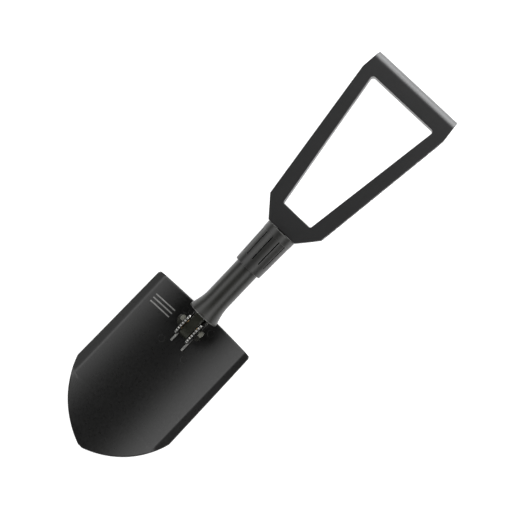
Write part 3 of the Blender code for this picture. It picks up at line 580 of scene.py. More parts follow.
def satin_metal(name, colour, roughness, wear_radius, wear_amount, rim_wear=False, sunk=False):
    """Grey hard-anodised aluminium: fine turning marks, blotchy sheen, edges rubbed light; with sunk, the
    collar's slots and bore are painted near black as painted shade.
    """
    nodes = Nodes(name)
    blotch = nodes.noise(38, 5, 0.62)
    grain = nodes.noise(900, 3, 0.6)
    turning = nodes.noise(240, 3, 0.5, stretch=(9, 0.6, 0.6))
    base = nodes.clouded(blotch, colour, 0.86, 1.12)
    chips = nodes.spread(nodes.noise(240, 6, 0.7), 0.42, 0.6, 0.25, 1.0)
    wear = nodes.math("MULTIPLY", nodes.edges(wear_radius, 0.2), wear_amount)
    wear = nodes.math("MULTIPLY", wear, chips, clamp=True)
    if rim_wear:
        rim = AXIS.x + TUBE_X[0]
        near = nodes.spread(nodes.along("X"), rim + 0.5 * MM, rim + 1.6 * MM, 1.0, 0.0)
        rubbed = nodes.math("MULTIPLY", near, nodes.spread(chips, 0.2, 1.0, 0.15, 0.5))
        wear = nodes.math("MAXIMUM", wear, rubbed)
    colour_out = nodes.mix(wear, base, (0.3, 0.3, 0.29))
    metal_out = nodes.blend(wear, 0.0, 1.0)
    # Painted shade: the slots and bore are painted near black where shade falls in them.
    if sunk:
        slot_shade = slot_painted_shade(nodes)
        colour_out = nodes.mix(slot_shade, colour_out, (0.002, 0.002, 0.002))
        metal_out = nodes.blend(slot_shade, metal_out, 1.0)
    nodes.colour(colour_out)
    nodes.roughness(nodes.blend(wear, nodes.vary(grain, roughness - 0.05, roughness + 0.06), 0.3))
    nodes.metallic(metal_out)
    height = nodes.math("ADD", nodes.math("MULTIPLY", turning, 0.6), nodes.math("MULTIPLY", grain, 0.4))
    nodes.relief(height, 0.2, 0.05 * MM, 0.3 * MM)
    return nodes.material


def slot_painted_shade(nodes):
    """Painted shade mask: 1 in the collar's slots and bore, 0 on its outer face."""
    outside = nodes.spread(nodes.along("X"), AXIS.x + COLLAR_X[0], AXIS.x + COLLAR_X[1],
                           COLLAR_RADIUS_START, COLLAR_RADIUS_END - PANEL_STEP)
    depth = nodes.math("SUBTRACT", outside, axis_distance(nodes, (0, 1, 1)))
    return nodes.spread(depth, 0.45 * MM, 0.9 * MM, 0.0, 1.0)


def moulded_nylon(name, colour, roughness, painted_grip_highlight=False):
    """Glass-filled nylon: spark-eroded grain, faint flow clouds, edges polished by handling, and a painted
    highlight band on the grip.
    """
    nodes = Nodes(name)
    flow = nodes.noise(20, 4, 0.65)
    grain = nodes.noise(1100, 4, 0.6)
    fibres = nodes.noise(300, 3, 0.5, stretch=(0.3, 1.4, 1.4))
    base = nodes.clouded(flow, colour, 0.88, 1.12)
    rub = nodes.edges(1.1 * MM, 0.25)
    base = nodes.mix(nodes.math("MULTIPLY", rub, 0.5), base, tuple(2.3 * c for c in colour))
    # Painted highlight: the grip's outer half-round is painted lighter where the light's reflection falls.
    if painted_grip_highlight:
        start = AXIS.x + HANDLE_X[1] - HANDLE_HALF_THICK
        highlight_band = nodes.spread(nodes.along("X"), start - 0.5 * MM, start + 6 * MM, 0.0, 1.0)
        base = nodes.mix(nodes.math("MULTIPLY", highlight_band, nodes.vary(flow, 0.8, 1.0)), base, GRIP_HIGHLIGHT_COLOUR)
    nodes.colour(base)
    nodes.roughness(nodes.blend(rub, nodes.vary(grain, roughness - 0.05, roughness + 0.05), roughness - 0.1))
    height = nodes.math("ADD", grain, nodes.math("MULTIPLY", fibres, 0.5))
    nodes.relief(height, 0.35, 0.07 * MM, 0.6 * MM)
    return nodes.material


def plain_metal(name, colour, roughness):
    """Machined or plated metal with fine scratches and stains."""
    nodes = Nodes(name)
    stain = nodes.noise(90, 5, 0.6)
    scratch = nodes.noise(500, 4, 0.6, stretch=(1.0, 7.0, 1.0))
    base = nodes.clouded(stain, colour, 0.75, 1.2)
    rub = nodes.math("MULTIPLY", nodes.edges(0.35 * MM, 0.25), 0.7)
    nodes.colour(nodes.mix(rub, base, (0.42, 0.42, 0.41)))
    nodes.roughness(nodes.vary(scratch, roughness - 0.06, roughness + 0.08))
    nodes.shader.inputs["Metallic"].default_value = 1.0
    nodes.relief(scratch, 0.2, 0.04 * MM, 0.25 * MM)
    return nodes.material


def rubber(name):
    nodes = Nodes(name)
    bloom = nodes.noise(150, 5, 0.6)
    nodes.colour(nodes.mix(bloom, (0.012, 0.012, 0.012), (0.024, 0.024, 0.023)))
    nodes.roughness(nodes.vary(bloom, 0.62, 0.75))
    nodes.relief(nodes.noise(1600, 3, 0.5), 0.3, 0.05 * MM)
    return nodes.material


BARE_STEEL = (0.46, 0.46, 0.44)
BLADE_COAT = powder_coat("blade_powder_coat", (0.0031, 0.0031, 0.0030), 0.30, (0.05, 0.05, 0.049),
                         0.5 * MM, 0.12, mark=printed_bars)
HINGE_COAT = powder_coat("hinge_powder_coat", (0.009, 0.009, 0.008), 0.38, BARE_STEEL, 0.4 * MM, 0.8,
                         extra_wear=tooth_wear)
TUBE_METAL = satin_metal("tube_hard_anodised", (0.0052, 0.0053, 0.0038), 0.37, 0.5 * MM, 0.4,
                         rim_wear=True)
COLLAR_METAL = satin_metal("collar_hard_anodised", (0.007, 0.007, 0.006), 0.37, 0.45 * MM, 0.6,
                           sunk=True)
# Colour of the painted highlight band on the grip's half-round.
GRIP_HIGHLIGHT_COLOUR = (0.075, 0.076, 0.078)
NYLON = moulded_nylon("handle_nylon", (0.0075, 0.0075, 0.0077), 0.36, painted_grip_highlight=True)
INNER_NYLON = moulded_nylon("inner_nylon", (0.012, 0.012, 0.012), 0.45)
LINK_METAL = plain_metal("link_oiled_steel", (0.034, 0.035, 0.028), 0.42)
BOLT_METAL = plain_metal("blackened_bolt_steel", (0.028, 0.028, 0.024), 0.3)
PIN_METAL = plain_metal("pin_steel", (0.22, 0.22, 0.215), 0.3)
BRONZE = plain_metal("friction_bronze", (0.3, 0.19, 0.085), 0.34)
RUBBER = rubber("seal_rubber")


# ---------------- blade

def point_half_width(reach):
    tip = Vector((-TIP_REACH, TIP_HALF_WIDTH))
    corner = Vector((-SHOULDER_REACH, SHOULDER_HALF_WIDTH))
    chord = corner - tip
    inward = Vector((chord.y, -chord.x)).normalized()
    centre = (tip + corner) / 2 + inward * math.sqrt(POINT_RADIUS ** 2 - (chord.length / 2) ** 2)
    return centre.y + math.sqrt(POINT_RADIUS ** 2 - (reach - centre.x) ** 2)


def blade_half_width(reach):
    if reach < -SHOULDER_REACH:
        return point_half_width(max(reach, -TIP_REACH))
    share = (reach + SHOULDER_REACH) / (REAR_REACH + SHOULDER_REACH)
    width = SHOULDER_HALF_WIDTH - REAR_NARROWING * share
    into_corner = max(0.0, reach - (REAR_REACH - REAR_CORNER))
    return width - REAR_CORNER + math.sqrt(max(0.0, REAR_CORNER ** 2 - into_corner ** 2))


def dish_height(across):
    """Rise from the dish and the turned-up side strips, with a soft bend between them."""
    past = (abs(across) - BEND_LINE) / BEND_SOFTNESS
    outside = BEND_SOFTNESS * (past if past > 30 else math.log1p(math.exp(past)))
    inside = abs(across) - outside
    return DISH_RADIUS - math.sqrt(DISH_RADIUS ** 2 - inside ** 2) + STRIP_SLOPE * outside


def blade_height(reach, across):
    run = max(0.0, -reach - TIP_LIFT_START) / (TIP_REACH - TIP_LIFT_START)
    into_lip = max(0.0, reach - (REAR_REACH - REAR_LIP)) / REAR_LIP
    return -BLADE_DROP + dish_height(across) + TIP_LIFT * run ** 2 - REAR_LIP_DROP * into_lip ** 2


def blade_rows(edge):
    """Places along the blade: closer together at the tip and over the rear lip."""
    tip = TIP_REACH - edge
    point = tip - SHOULDER_REACH
    rows = [-tip + point * (1 - math.cos(math.pi / 2 * i / 40)) for i in range(40)]
    straight = REAR_REACH - REAR_LIP + SHOULDER_REACH
    rows += [-SHOULDER_REACH + straight * i / 48 for i in range(49)]
    last = REAR_LIP - edge
    return rows + [REAR_REACH - REAR_LIP + last * i / 10 for i in range(1, 11)]


def blade_columns(half_width):
    """Places across one half, with several over the bend."""
    bend = min(BEND_LINE, 0.93 * half_width)
    soft = min(2.4 * MM, 0.2 * half_width)
    inner = [(bend - soft) * i / 26 for i in range(27)]
    over = [bend - soft + 2 * soft * i / 8 for i in range(1, 9)]
    over = [y for y in over if y < half_width - 0.2 * MM]
    outer = [over[-1] + (half_width - over[-1]) * i / 5 for i in range(1, 6)]
    half = inner + over + outer
    while len(half) < 40:
        half.append(half_width)
    return half


def outline_normals(loop):
    """Outward directions in plan along a closed loop of points."""
    count = len(loop)
    turn = sum(a[0] * b[1] - b[0] * a[1] for a, b in zip(loop, loop[1:] + loop[:1]))
    sign = 1 if turn > 0 else -1
    found = []
    for i in range(count):
        ahead = Vector(loop[(i + 1) % count][:2]) - Vector(loop[i - 1][:2])
        found.append(Vector((ahead.y, -ahead.x)).normalized() * sign)
    return found


def sheet_shape(grid, thickness):
    """Closed sheet from a grid of (x, y, z) points on its upper face, with a half-round rim."""
    shape = bmesh.new()
    layers = []
    for depth in (0.0, thickness):
        layer = [[shape.verts.new((x, y, z - depth)) for x, y, z in row] for row in grid]
        layers.append(layer)
        for first, second in zip(layer, layer[1:]):
            for i in range(len(first) - 1):
                shape.faces.new((first[i], first[i + 1], second[i + 1], second[i]))
    rims = []
    for layer in layers:
        rim = layer[0] + [row[-1] for row in layer[1:-1]] + layer[-1][::-1]
        rims.append(rim + [row[0] for row in layer[-2:0:-1]])
    loop = [tuple(vertex.co) for vertex in rims[0]]
    normals = outline_normals(loop)
    half = thickness / 2
    previous = rims[0]
    for turn in (60, 30, 0, -30, -60):              # degrees round the half-round rim
        out = half * math.cos(math.radians(turn))
        up = half * math.sin(math.radians(turn)) - half
        made = ring(shape, [(p[0] + n.x * out, p[1] + n.y * out, p[2] + up) for p, n in zip(loop, normals)])
        skin(shape, previous, made)
        previous = made
    skin(shape, previous, rims[1])
    return shape


def even_columns(half_width, count=40):
    """Columns spread by share of the width, so that every row has the same number."""
    places = blade_columns(SHOULDER_HALF_WIDTH - BLADE_SHEET / 2)
    if half_width >= BEND_LINE + 3.2 * MM:
        outer = half_width - BEND_LINE - 2.4 * MM
        kept = [y for y in places if y <= BEND_LINE + 2.4 * MM + 1e-9]
        rest = count - len(kept)
        return kept + [kept[-1] + outer * (i + 1) / rest for i in range(rest)]
    share = half_width / places[-1]
    return [y * share for y in places]


def make_blade():
    edge = BLADE_SHEET / 2
    grid = []
    for reach in blade_rows(edge):
        half = even_columns(max(0.6 * MM, blade_half_width(reach) - edge))
        places = [-y for y in reversed(half)] + half[1:]
        grid.append([(reach, y, blade_height(reach, y)) for y in places])
    blade = as_object("blade_fine", sheet_shape(grid, BLADE_SHEET), 40)
    for side in (-1, 1):
        near, far = EAR_INNER - GAP, EAR_INNER + EAR_THICKNESS + GAP
        low_y, high_y = sorted((side * near, side * far))
        front, back = -EAR_FOOT_REACH - GAP, BRACKET_X[1] + GAP
        outline = rounded(rectangle((front, low_y), (back, high_y)), [0.8 * MM], 3)
        carve(blade, straight(outline, "Z", -BLADE_DROP - 8 * MM, -BLADE_DROP + 8 * MM))
    spread = (RIVET_HEAD_RADIUS - RIVET_RADIUS) / (RIVET_HEAD - RIVET_SINK)
    clear = RIVET_RADIUS + RIVET_FIT
    over = 0.6 * MM
    seat = [(-5 * MM, clear), (-RIVET_HEAD, clear), (over, clear + (RIVET_HEAD + over) * spread)]
    for reach, across in rivet_spots():
        carve(blade, on_blade(turned(seat, 64, False), reach, across))
    show(blade, BLADE_COAT, "blade_body", "black_coated_steel", "blade")


# ---------------- blade hinge

def rivet_spots():
    for reach, across in RIVET_PLACES:
        for side in (-1, 1):
            yield reach, side * across


def on_blade(shape, reach, across):
    """Place a body turned about X square to the blade, with its zero on the blade's face."""
    normal = Vector((0, -across, math.sqrt(DISH_RADIUS ** 2 - across ** 2)))
    return turn_to(shape, normal.normalized(), (reach, across, blade_height(reach, across)))


def ear_outline():
    """Side view of an ear: toothed arc above, a stop lug behind, a straight flank and a foot."""
    points = [(BRACKET_X[1], STOP_TOP - 1.0 * MM)]
    points += arc((BRACKET_X[1] - 1.0 * MM, STOP_TOP - 1.0 * MM), 1.0 * MM, 20, 90, 3)
    first = math.radians(TOOTH_ARC[0])
    root = (EAR_RADIUS - TOOTH_DEPTH) * math.cos(first)
    points += [(root + 0.6 * MM, STOP_TOP), (root + 0.2 * MM, STOP_TOP + 0.6 * MM)]
    pitch = (TOOTH_ARC[1] - TOOTH_ARC[0]) / TOOTH_COUNT
    for i in range(TOOTH_COUNT):
        start = TOOTH_ARC[0] + i * pitch
        for share, depth in ((0.0, 1.0), (0.08, 1.0), (0.27, 0.12), (0.33, 0.0), (0.59, 0.0),
                             (0.65, 0.12), (0.92, 0.92)):
            turn = math.radians(start + share * pitch)
            radius = EAR_RADIUS - TOOTH_DEPTH * depth
            points.append((radius * math.cos(turn), radius * math.sin(turn)))
    flank = -EAR_RADIUS + TOOTH_DEPTH
    points.append((flank, 0))
    points += arc((flank - 3.2 * MM, -EAR_RADIUS + 1.4 * MM), 3.2 * MM, 0, -90, 5)
    points += arc((-EAR_FOOT_REACH + 1.2 * MM, -EAR_RADIUS - 3.0 * MM), 1.2 * MM, 90, 180, 4)
    bottom = span("hinge_bracket", 2)[0] + 0.8 * MM
    points.append((-EAR_FOOT_REACH, bottom))
    points.append((BRACKET_X[1], bottom))
    return points


def shrunk_plate(outline, low, high, edge):
    """Plate of any outline along Y whose two rims are bevelled."""
    shape, caps = prism(outline, low, high)
    bmesh.ops.recalc_face_normals(shape, faces=shape.faces)
    rims = list({e for cap in caps for e in cap.edges})
    bmesh.ops.bevel(shape, geom=rims, offset=edge, segments=2, affect="EDGES", clamp_overlap=True)
    return shape


def make_bracket():
    steps = 40
    half = BRACKET_HALF_WIDTH - BRACKET_SHEET / 2
    front, back = BRACKET_X[0] + BRACKET_SHEET / 2, BRACKET_X[1] - BRACKET_SHEET / 2
    top = -BLADE_DROP - BLADE_SHEET - GAP
    grid = []
    for i in range(25):
        reach = front + (back - front) * i / 24
        corner = max(0.0, 5 * MM - (reach - front)) if i < 6 else 0.0
        wide = half - 5 * MM + math.sqrt(max(0.0, (5 * MM) ** 2 - corner ** 2))
        places = [wide * (2 * j / steps - 1) for j in range(steps + 1)]
        grid.append([(reach, y, top + dish_height(y)) for y in places])
    bracket = as_object("hinge_bracket_fine", sheet_shape(grid, BRACKET_SHEET), 32)
    for side in (-1, 1):
        low, high = sorted((side * EAR_INNER, side * (EAR_INNER + EAR_THICKNESS)))
        carve(bracket, shrunk_plate(ear_outline(), low, high, EAR_EDGE), "UNION")
    carve(bracket, rod(BOLT_RADIUS + GAP, 0, -30 * MM, 30 * MM, 48))
    for reach, across in rivet_spots():
        hole = turned([(-12 * MM, RIVET_RADIUS + GAP), (2 * MM, RIVET_RADIUS + GAP)], 40, False)
        carve(bracket, on_blade(hole, reach, across))
    show(bracket, HINGE_COAT, "blade_body", "black_coated_steel", "hinge_bracket")


def make_rivets():
    """Flush countersunk heads in front, low domes behind the bracket."""
    back = -BLADE_SHEET - BRACKET_SHEET - 2 * GAP
    radius = RIVET_HEAD_RADIUS
    turns = [math.pi / 2 * (i + 0.35) / 10.35 for i in range(10)]
    profile = [(back - RIVET_DOME * math.cos(t), radius * math.sin(t) ** 0.9) for t in turns]
    profile += [(back - 0.1 * MM, radius - 0.05 * MM), (back, RIVET_RADIUS), (-RIVET_HEAD, RIVET_RADIUS)]
    profile += [(-RIVET_SINK - 0.08 * MM, radius - 0.06 * MM), (-RIVET_SINK, radius - 0.14 * MM)]
    for number, (reach, across) in enumerate(rivet_spots(), start=1):
        piece = as_object(f"rivet_fine_{number}", on_blade(turned(profile, 64, False), reach, across), 50)
        show(piece, BLADE_COAT, "blade_body", "black_coated_steel", f"bracket_rivet_{number}")


def hexagon(across):
    radius = across / math.sqrt(3)
    return [(radius * math.cos(math.radians(60 * i + 30)), radius * math.sin(math.radians(60 * i + 30)))
            for i in range(6)]


def make_bolt_and_nut():
    head_start = span("hinge_bolt", 1)[0]
    washer_out = span("hinge_washer_left", 1)[1]
    face = washer_out + GAP
    corner = HEX_ACROSS / math.sqrt(3)
    bolt = as_object("hinge_bolt_fine", straight(hexagon(HEX_ACROSS), "Y", head_start, -face), 34)
    dome = [(head_start, corner - 2.6 * MM), (head_start + 0.5 * MM, corner - 1.5 * MM),
            (head_start + 1.5 * MM, corner + 0.1 * MM), (-face - 0.5 * MM, corner + 0.1 * MM),
            (-face, corner - 1.0 * MM)]
    carve(bolt, turned_across(dome), "INTERSECT")
    end = span("hinge_bolt", 1)[1]
    shank = [(-face - 1 * MM, BOLT_RADIUS), (face + 0.5 * MM, BOLT_RADIUS)]
    reach = face + 0.5 * MM
    root = BOLT_RADIUS - 0.45 * MM
    while reach + BOLT_PITCH < end - 0.8 * MM:
        shank += [(reach + 0.45 * BOLT_PITCH, root), (reach + 0.55 * BOLT_PITCH, root)]
        reach += BOLT_PITCH
        shank += [(reach, BOLT_RADIUS)]
    shank += [(end - 0.7 * MM, BOLT_RADIUS), (end - 0.15 * MM, BOLT_RADIUS - 0.6 * MM)]
    shank += [(end, BOLT_RADIUS - 0.9 * MM)]
    carve(bolt, turned_across(shank, sides=48), "UNION")
    show(bolt, BOLT_METAL, "blade_body", "black_steel", "hinge_bolt")

    low, high = span("hinge_nut", 1)
    nut = as_object("hinge_nut_fine", straight(hexagon(HEX_ACROSS), "Y", low, high), 34)
    cone = [(low, corner - 0.9 * MM), (low + 0.5 * MM, corner + 0.1 * MM),
            (high - 3.0 * MM, corner + 0.1 * MM), (high - 0.6 * MM, corner - 2.2 * MM),
            (high, corner - 2.7 * MM)]
    carve(nut, turned_across(cone), "INTERSECT")
    carve(nut, rod(BOLT_RADIUS + GAP, 0, 0, 40 * MM, 48))
    show(nut, BOLT_METAL, "blade_body", "black_steel", "hinge_nut")


def washer(name, node, finish, bore, body, slot, centre, edge=0.25 * MM):
    """Flat washer on a pin along Y, where and as large as its CAD node."""
    low, high = span(node, 1)
    outer = (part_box(node)[1].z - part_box(node)[0].z) / 2
    edge = min(edge, 0.3 * (high - low))
    profile = [(low, bore + edge), (low + edge, bore), (high - edge, bore), (high, bore + edge)]
    profile += [(high, outer - edge), (high - edge, outer), (low + edge, outer), (low, outer - edge)]
    shape = turned_across(profile, centre, 72, True)
    show(as_object(name, shape, 50), finish, body, slot, node)


def make_washers():
    for side in ("left", "right"):
        washer(f"washer_fine_{side}", f"hinge_washer_{side}", BOLT_METAL, BOLT_RADIUS + GAP, "blade_body",
               "black_steel", 0.0)
        washer(f"friction_washer_fine_{side}", f"friction_washer_{side}", BRONZE, BOLT_RADIUS + GAP,
               "blade_body", "friction_bronze", 0.0, 0.1 * MM)


# ---------------- shaft

def make_link():
    wide, narrow = LINK_SHOULDER
    outline = [(narrow, LINK_HALF_HEIGHT), (wide, LINK_DISC)]
    outline += arc((0, 0), LINK_DISC, 90, 270, 48)
    outline += [(wide, -LINK_DISC), (narrow, -LINK_HALF_HEIGHT)]
    outline += arc((PIN_REACH, 0), LINK_HALF_HEIGHT, -90, 90, 30)
    shape = shrunk_plate(outline, -LINK_HALF_THICK, LINK_HALF_THICK, 0.5 * MM)
    link = as_object("shaft_link_fine", shape, 30)
    carve(link, rod(BOLT_RADIUS + GAP, 0, -20 * MM, 20 * MM, 48))
    carve(link, rod(PIN_RADIUS + GAP, PIN_REACH, -20 * MM, 20 * MM, 48))
    show(link, LINK_METAL, "shaft_core", "black_steel", "shaft_link")


def threaded_skin(shape, lower, upper, start, threads, offsets, radius_at, turns):
    """Join two plain rings with a helical surface whose rows follow the thread."""
    per_turn = len(offsets)
    rows = per_turn * threads
    sides = len(turns)

    def column(j, top):
        made = []
        for i in range(top + 1):
            turned_by = i // per_turn + turns[j]
            reach = start + THREAD_LEAD * turned_by + offsets[i % per_turn]
            radius = radius_at(i % per_turn, turned_by)
            angle = 2 * math.pi * turns[j]
            made.append(shape.verts.new((reach, radius * math.cos(angle), radius * math.sin(angle))))
        return made

    columns = [column(0, rows + per_turn)] + [column(j, rows) for j in range(1, sides)]
    for j in range(sides):
        left = columns[j]
        right = columns[(j + 1) % sides]
        shift = per_turn if j == sides - 1 else 0
        for i in range(rows):
            shape.faces.new((left[i], right[i + shift], right[i + 1 + shift], left[i + 1]))
    for j in range(sides - 1):
        shape.faces.new((lower[j], lower[j + 1], columns[j + 1][0], columns[j][0]))
    shape.faces.new([lower[-1], lower[0]] + columns[0][:per_turn + 1] + [columns[-1][0]])
    for j in range(1, sides):
        k = (j + 1) % sides
        right_top = columns[k][rows + per_turn] if k == 0 else columns[k][rows]
        shape.faces.new((columns[j][rows], right_top, upper[k], upper[j]))
    run = columns[0][rows:rows + per_turn + 1]
    shape.faces.new([columns[1][rows], upper[1], upper[0]] + list(reversed(run)))


THREAD_START = COLLAR_X[0] + 1.2 * MM - THREAD_LEAD / 2
THREAD_TURNS = int((TUBE_X[1] - THREAD_START) / THREAD_LEAD) - 1


def tube_thread_radius(place, turns):
    """Trapezoid groove that starts softly and runs out at the tube's end."""
    groove = (0.0, 0.0, 1.0, 1.0)[place]
    relief = ramp(turns, THREAD_TURNS - 0.4, THREAD_TURNS - 0.1)
    depth = max(groove * ramp(turns, 0.0, THREAD_RAMP), relief)
    return TUBE_RADIUS - THREAD_DEPTH * depth


def flared(narrow, wide, share):
    return narrow + (wide - narrow) * (1 - share) ** 2 * (1 + 0.35 * share)


def make_tube():
    sides = evenly(128)
    shape = bmesh.new()
    rim = TUBE_X[0]
    flare_start = rim + 2 * MM
    steps = [i / 28 for i in range(29)]
    lip = RIM_WALL / 2
    outer = [(flare_start + FLARE_LENGTH * s, flared(TUBE_RADIUS, RIM_RADIUS, s)) for s in steps]
    inner = [(flare_start + FLARE_LENGTH * s, flared(TUBE_BORE, RIM_RADIUS - RIM_WALL, s)) for s in steps]
    outside = [(rim + lip, RIM_RADIUS - RIM_WALL)]
    outside += [(rim + lip - lip * math.sin(t), RIM_RADIUS - lip - lip * math.cos(t))
                for t in [math.pi * i / 12 for i in range(1, 12)]]
    outside += [(rim + lip, RIM_RADIUS)] + outer
    plain_end = THREAD_START - 1 * MM
    rings = [ring(shape, circle(x, r, sides)) for x, r in outside]
    lower = ring(shape, circle(plain_end, TUBE_RADIUS, sides))
    upper = ring(shape, circle(TUBE_X[1] - 0.4 * MM, TUBE_RADIUS - THREAD_DEPTH, sides))
    end = [(TUBE_X[1], TUBE_RADIUS - THREAD_DEPTH - 0.4 * MM), (TUBE_X[1], TUBE_BORE + 0.3 * MM),
           (TUBE_X[1] - 0.3 * MM, TUBE_BORE)]
    bore = [ring(shape, circle(x, r, sides)) for x, r in end + inner[::-1]]
    half = THREAD_LEAD / 2
    offsets = (0.0, half - THREAD_DEPTH, half, THREAD_LEAD - THREAD_DEPTH)
    threaded_skin(shape, lower, upper, THREAD_START, THREAD_TURNS, offsets, tube_thread_radius, sides)
    for run in (rings + [lower], [upper] + bore):
        for first, second in zip(run, run[1:]):
            skin(shape, first, second)
    skin(shape, bore[-1], rings[0])
    tube = as_object("flared_tube_fine", shape, 35)
    show(tube, TUBE_METAL, "lower_tube", "grey_aluminium", "flared_tube")


# ---------------- collar

def collar_radius(reach):
    share = (reach - COLLAR_X[0]) / (COLLAR_X[1] - COLLAR_X[0])
    return COLLAR_RADIUS_START + (COLLAR_RADIUS_END - COLLAR_RADIUS_START) * share


def panel_radius(reach):
    """The collar's outside, which sinks a little towards the slots' upper ends."""
    start = COLLAR_X[0] + SLOT_INSETS[0]
    end = COLLAR_X[1] - SLOT_INSETS[1]
    sunk = PANEL_STEP * ramp(reach, start, end)
    return collar_radius(reach) - sunk


def ridge_radius(place, turns):
    ridge = (0.0, 0.0, 1.0, 1.0)[place]
    first = (COLLAR_TRAVEL / THREAD_LEAD) % 1
    last = first + RIDGE_TURNS
    height = ramp(turns, first, first + 0.2) * (1 - ramp(turns, last, last + 0.2))
    return TUBE_RADIUS + THREAD_FIT - THREAD_DEPTH * ridge * height


def collar_turns():
    """Places round the collar as shares of a turn, close together over each slot's walls."""
    steps = (-15, -10, -6, -3.6, -2.6, -2.26, -2.05, -1.9, -1.75, -1.55, 0,
             1.55, 1.75, 1.9, 2.05, 2.26, 2.6, 3.6, 6, 10)
    pitch = 360 / SLOT_COUNT
    return [(pitch * (i + 0.5) + step) / 360 + SLOT_PHASE for i in range(SLOT_COUNT) for step in steps]


def slot_depth(reach, turn, radius):
    """Depth of the grip slots: long, with round ends and slightly sloping walls."""
    start = COLLAR_X[0] + SLOT_INSETS[0] + SLOT_WIDTH / 2
    end = COLLAR_X[1] - SLOT_INSETS[1] - SLOT_WIDTH / 2
    phase = ((turn - SLOT_PHASE) * SLOT_COUNT) % 1 - 0.5
    sideways = radius * 2 * math.pi * phase / SLOT_COUNT
    beyond = max(start - reach, reach - end, 0.0)
    inside = ramp(SLOT_WIDTH / 2 - math.hypot(sideways, beyond), -SLOT_WALL, SLOT_WALL)
    return SLOT_DEPTH * inside * inside * (3 - 2 * inside)


def collar_rows():
    """Places along the collar's outside, close together over the slots' ends."""
    start, end = COLLAR_X[0] + SLOT_INSETS[0], COLLAR_X[1] - SLOT_INSETS[1]
    near = [-0.13 * MM + 0.13 * MM * i for i in range(9)]
    middle = [start + 1.2 * MM + (end - start - 2.4 * MM) * i / 14 for i in range(15)]
    return [start + step for step in near] + middle + [end - step for step in reversed(near)]


def make_collar():
    turns = collar_turns()
    shape = bmesh.new()
    low, high = COLLAR_X
    chamfer = 0.7 * MM
    bore = TUBE_RADIUS + THREAD_FIT
    outside = [(low, COLLAR_RADIUS_START - chamfer),
               (low + 0.25 * chamfer, COLLAR_RADIUS_START - 0.35 * chamfer),
               (low + chamfer, collar_radius(low + chamfer))]
    rings = [ring(shape, circle(x, r, turns)) for x, r in outside]
    for x in collar_rows():
        radius = panel_radius(x)
        rings.append(ring(shape, circle(x, lambda t: radius - slot_depth(x, t, radius), turns)))
    step = COLLAR_X[1] - SLOT_INSETS[1] + 0.35 * MM
    outside = [(step, collar_radius(step)), (high - chamfer, collar_radius(high - chamfer))]
    outside += [(high - 0.25 * chamfer, COLLAR_RADIUS_END - 0.35 * chamfer)]
    outside += [(high, COLLAR_RADIUS_END - chamfer)]
    outside += [(high, CUP_RADIUS + 0.3 * MM), (high - 0.3 * MM, CUP_RADIUS)]
    outside += [(high - CUP_DEPTH, CUP_RADIUS), (high - CUP_DEPTH, bore)]
    rings += [ring(shape, circle(x, r, turns)) for x, r in outside]
    seal = low + SEAL_INSET
    seal_bore = bore + 2 * SEAL_RADIUS + GAP / 2
    start = THREAD_START + THREAD_LEAD * (COLLAR_TRAVEL // THREAD_LEAD)
    groove = SEAL_RADIUS + GAP
    inside = [(low, bore), (seal - groove, bore), (seal - groove, seal_bore), (seal + groove, seal_bore)]
    inside += [(seal + groove, bore), (start - 1 * MM, bore)]
    inner = [ring(shape, circle(x, r, turns)) for x, r in inside]
    upper = ring(shape, circle(high - CUP_DEPTH - 1 * MM, bore, turns))
    half = THREAD_LEAD / 2
    offsets = (0.0, half - THREAD_DEPTH + THREAD_FIT, half + THREAD_FIT,
               THREAD_LEAD - THREAD_DEPTH - THREAD_FIT)
    threaded_skin(shape, inner[-1], upper, start, 3, offsets, ridge_radius, turns)
    for run in (rings, inner, [rings[0], inner[0]], [upper, rings[-1]]):
        for first, second in zip(run, run[1:]):
            skin(shape, first, second)
    collar = as_object("locking_collar_fine", shape, 24)
    show(collar, COLLAR_METAL, "collar", "grey_aluminium", "locking_collar")


def make_seal():
    centre = TUBE_RADIUS + THREAD_FIT + SEAL_RADIUS
    reach = COLLAR_X[0] + SEAL_INSET
    profile = [(reach + a, centre + b) for a, b in arc((0, 0), SEAL_RADIUS, 0, 337.5, 15)]
    seal = as_object("collar_seal_fine", turned(profile, 128), 60)
    show(seal, RUBBER, "collar", "black_rubber", "collar_seal")


def windowed_ring(name, node, body):
    """Eased ring or plug with the rectangular window that slides on the link."""
    low, high = span(node, 0)
    outer = span(node, 1)[1]
    edge = 0.4 * MM
    fit = 0.35 * MM
    profile = [(low, outer - edge), (low + edge, outer), (high - edge, outer), (high, outer - edge)]
    piece = as_object(name, turned(profile, 96, False), 32)
    wide, tall = LINK_HALF_THICK + fit, LINK_HALF_HEIGHT + fit
    outline = rounded(rectangle((-wide, -tall), (wide, tall)), [0.5 * MM], 3)
    carve(piece, stack(outline, "X", through_levels(low, high, edge)))
    show(piece, INNER_NYLON, body, "black_nylon", node)


# ---------------- handle

def frame_outline():
    half = [(HANDLE_X[0], BASE_HALF_WIDTH), CORNER, (OPENING_END, GRIP_HALF_LENGTH)]
    half += [(HANDLE_X[1], GRIP_HALF_LENGTH - GRIP_END_TAPER)]
    corners = half + [(x, -y) for x, y in reversed(half)]
    radii = [1.0 * MM, 1.6 * MM, 3.5 * MM, 1.2 * MM]
    return rounded(corners, radii + radii[::-1])


def opening_cutter():
    points = [(OPENING_START, -OPENING_START_HALF), (OPENING_END, -OPENING_END_HALF)]
    points += [(OPENING_END, OPENING_END_HALF), (OPENING_START, OPENING_START_HALF)]
    outline = rounded(points, [2.6 * MM, 3.5 * MM, 3.5 * MM, 2.6 * MM])
    return stack(outline, "Z", through_levels(-HANDLE_HALF_THICK, HANDLE_HALF_THICK, HANDLE_EDGE))


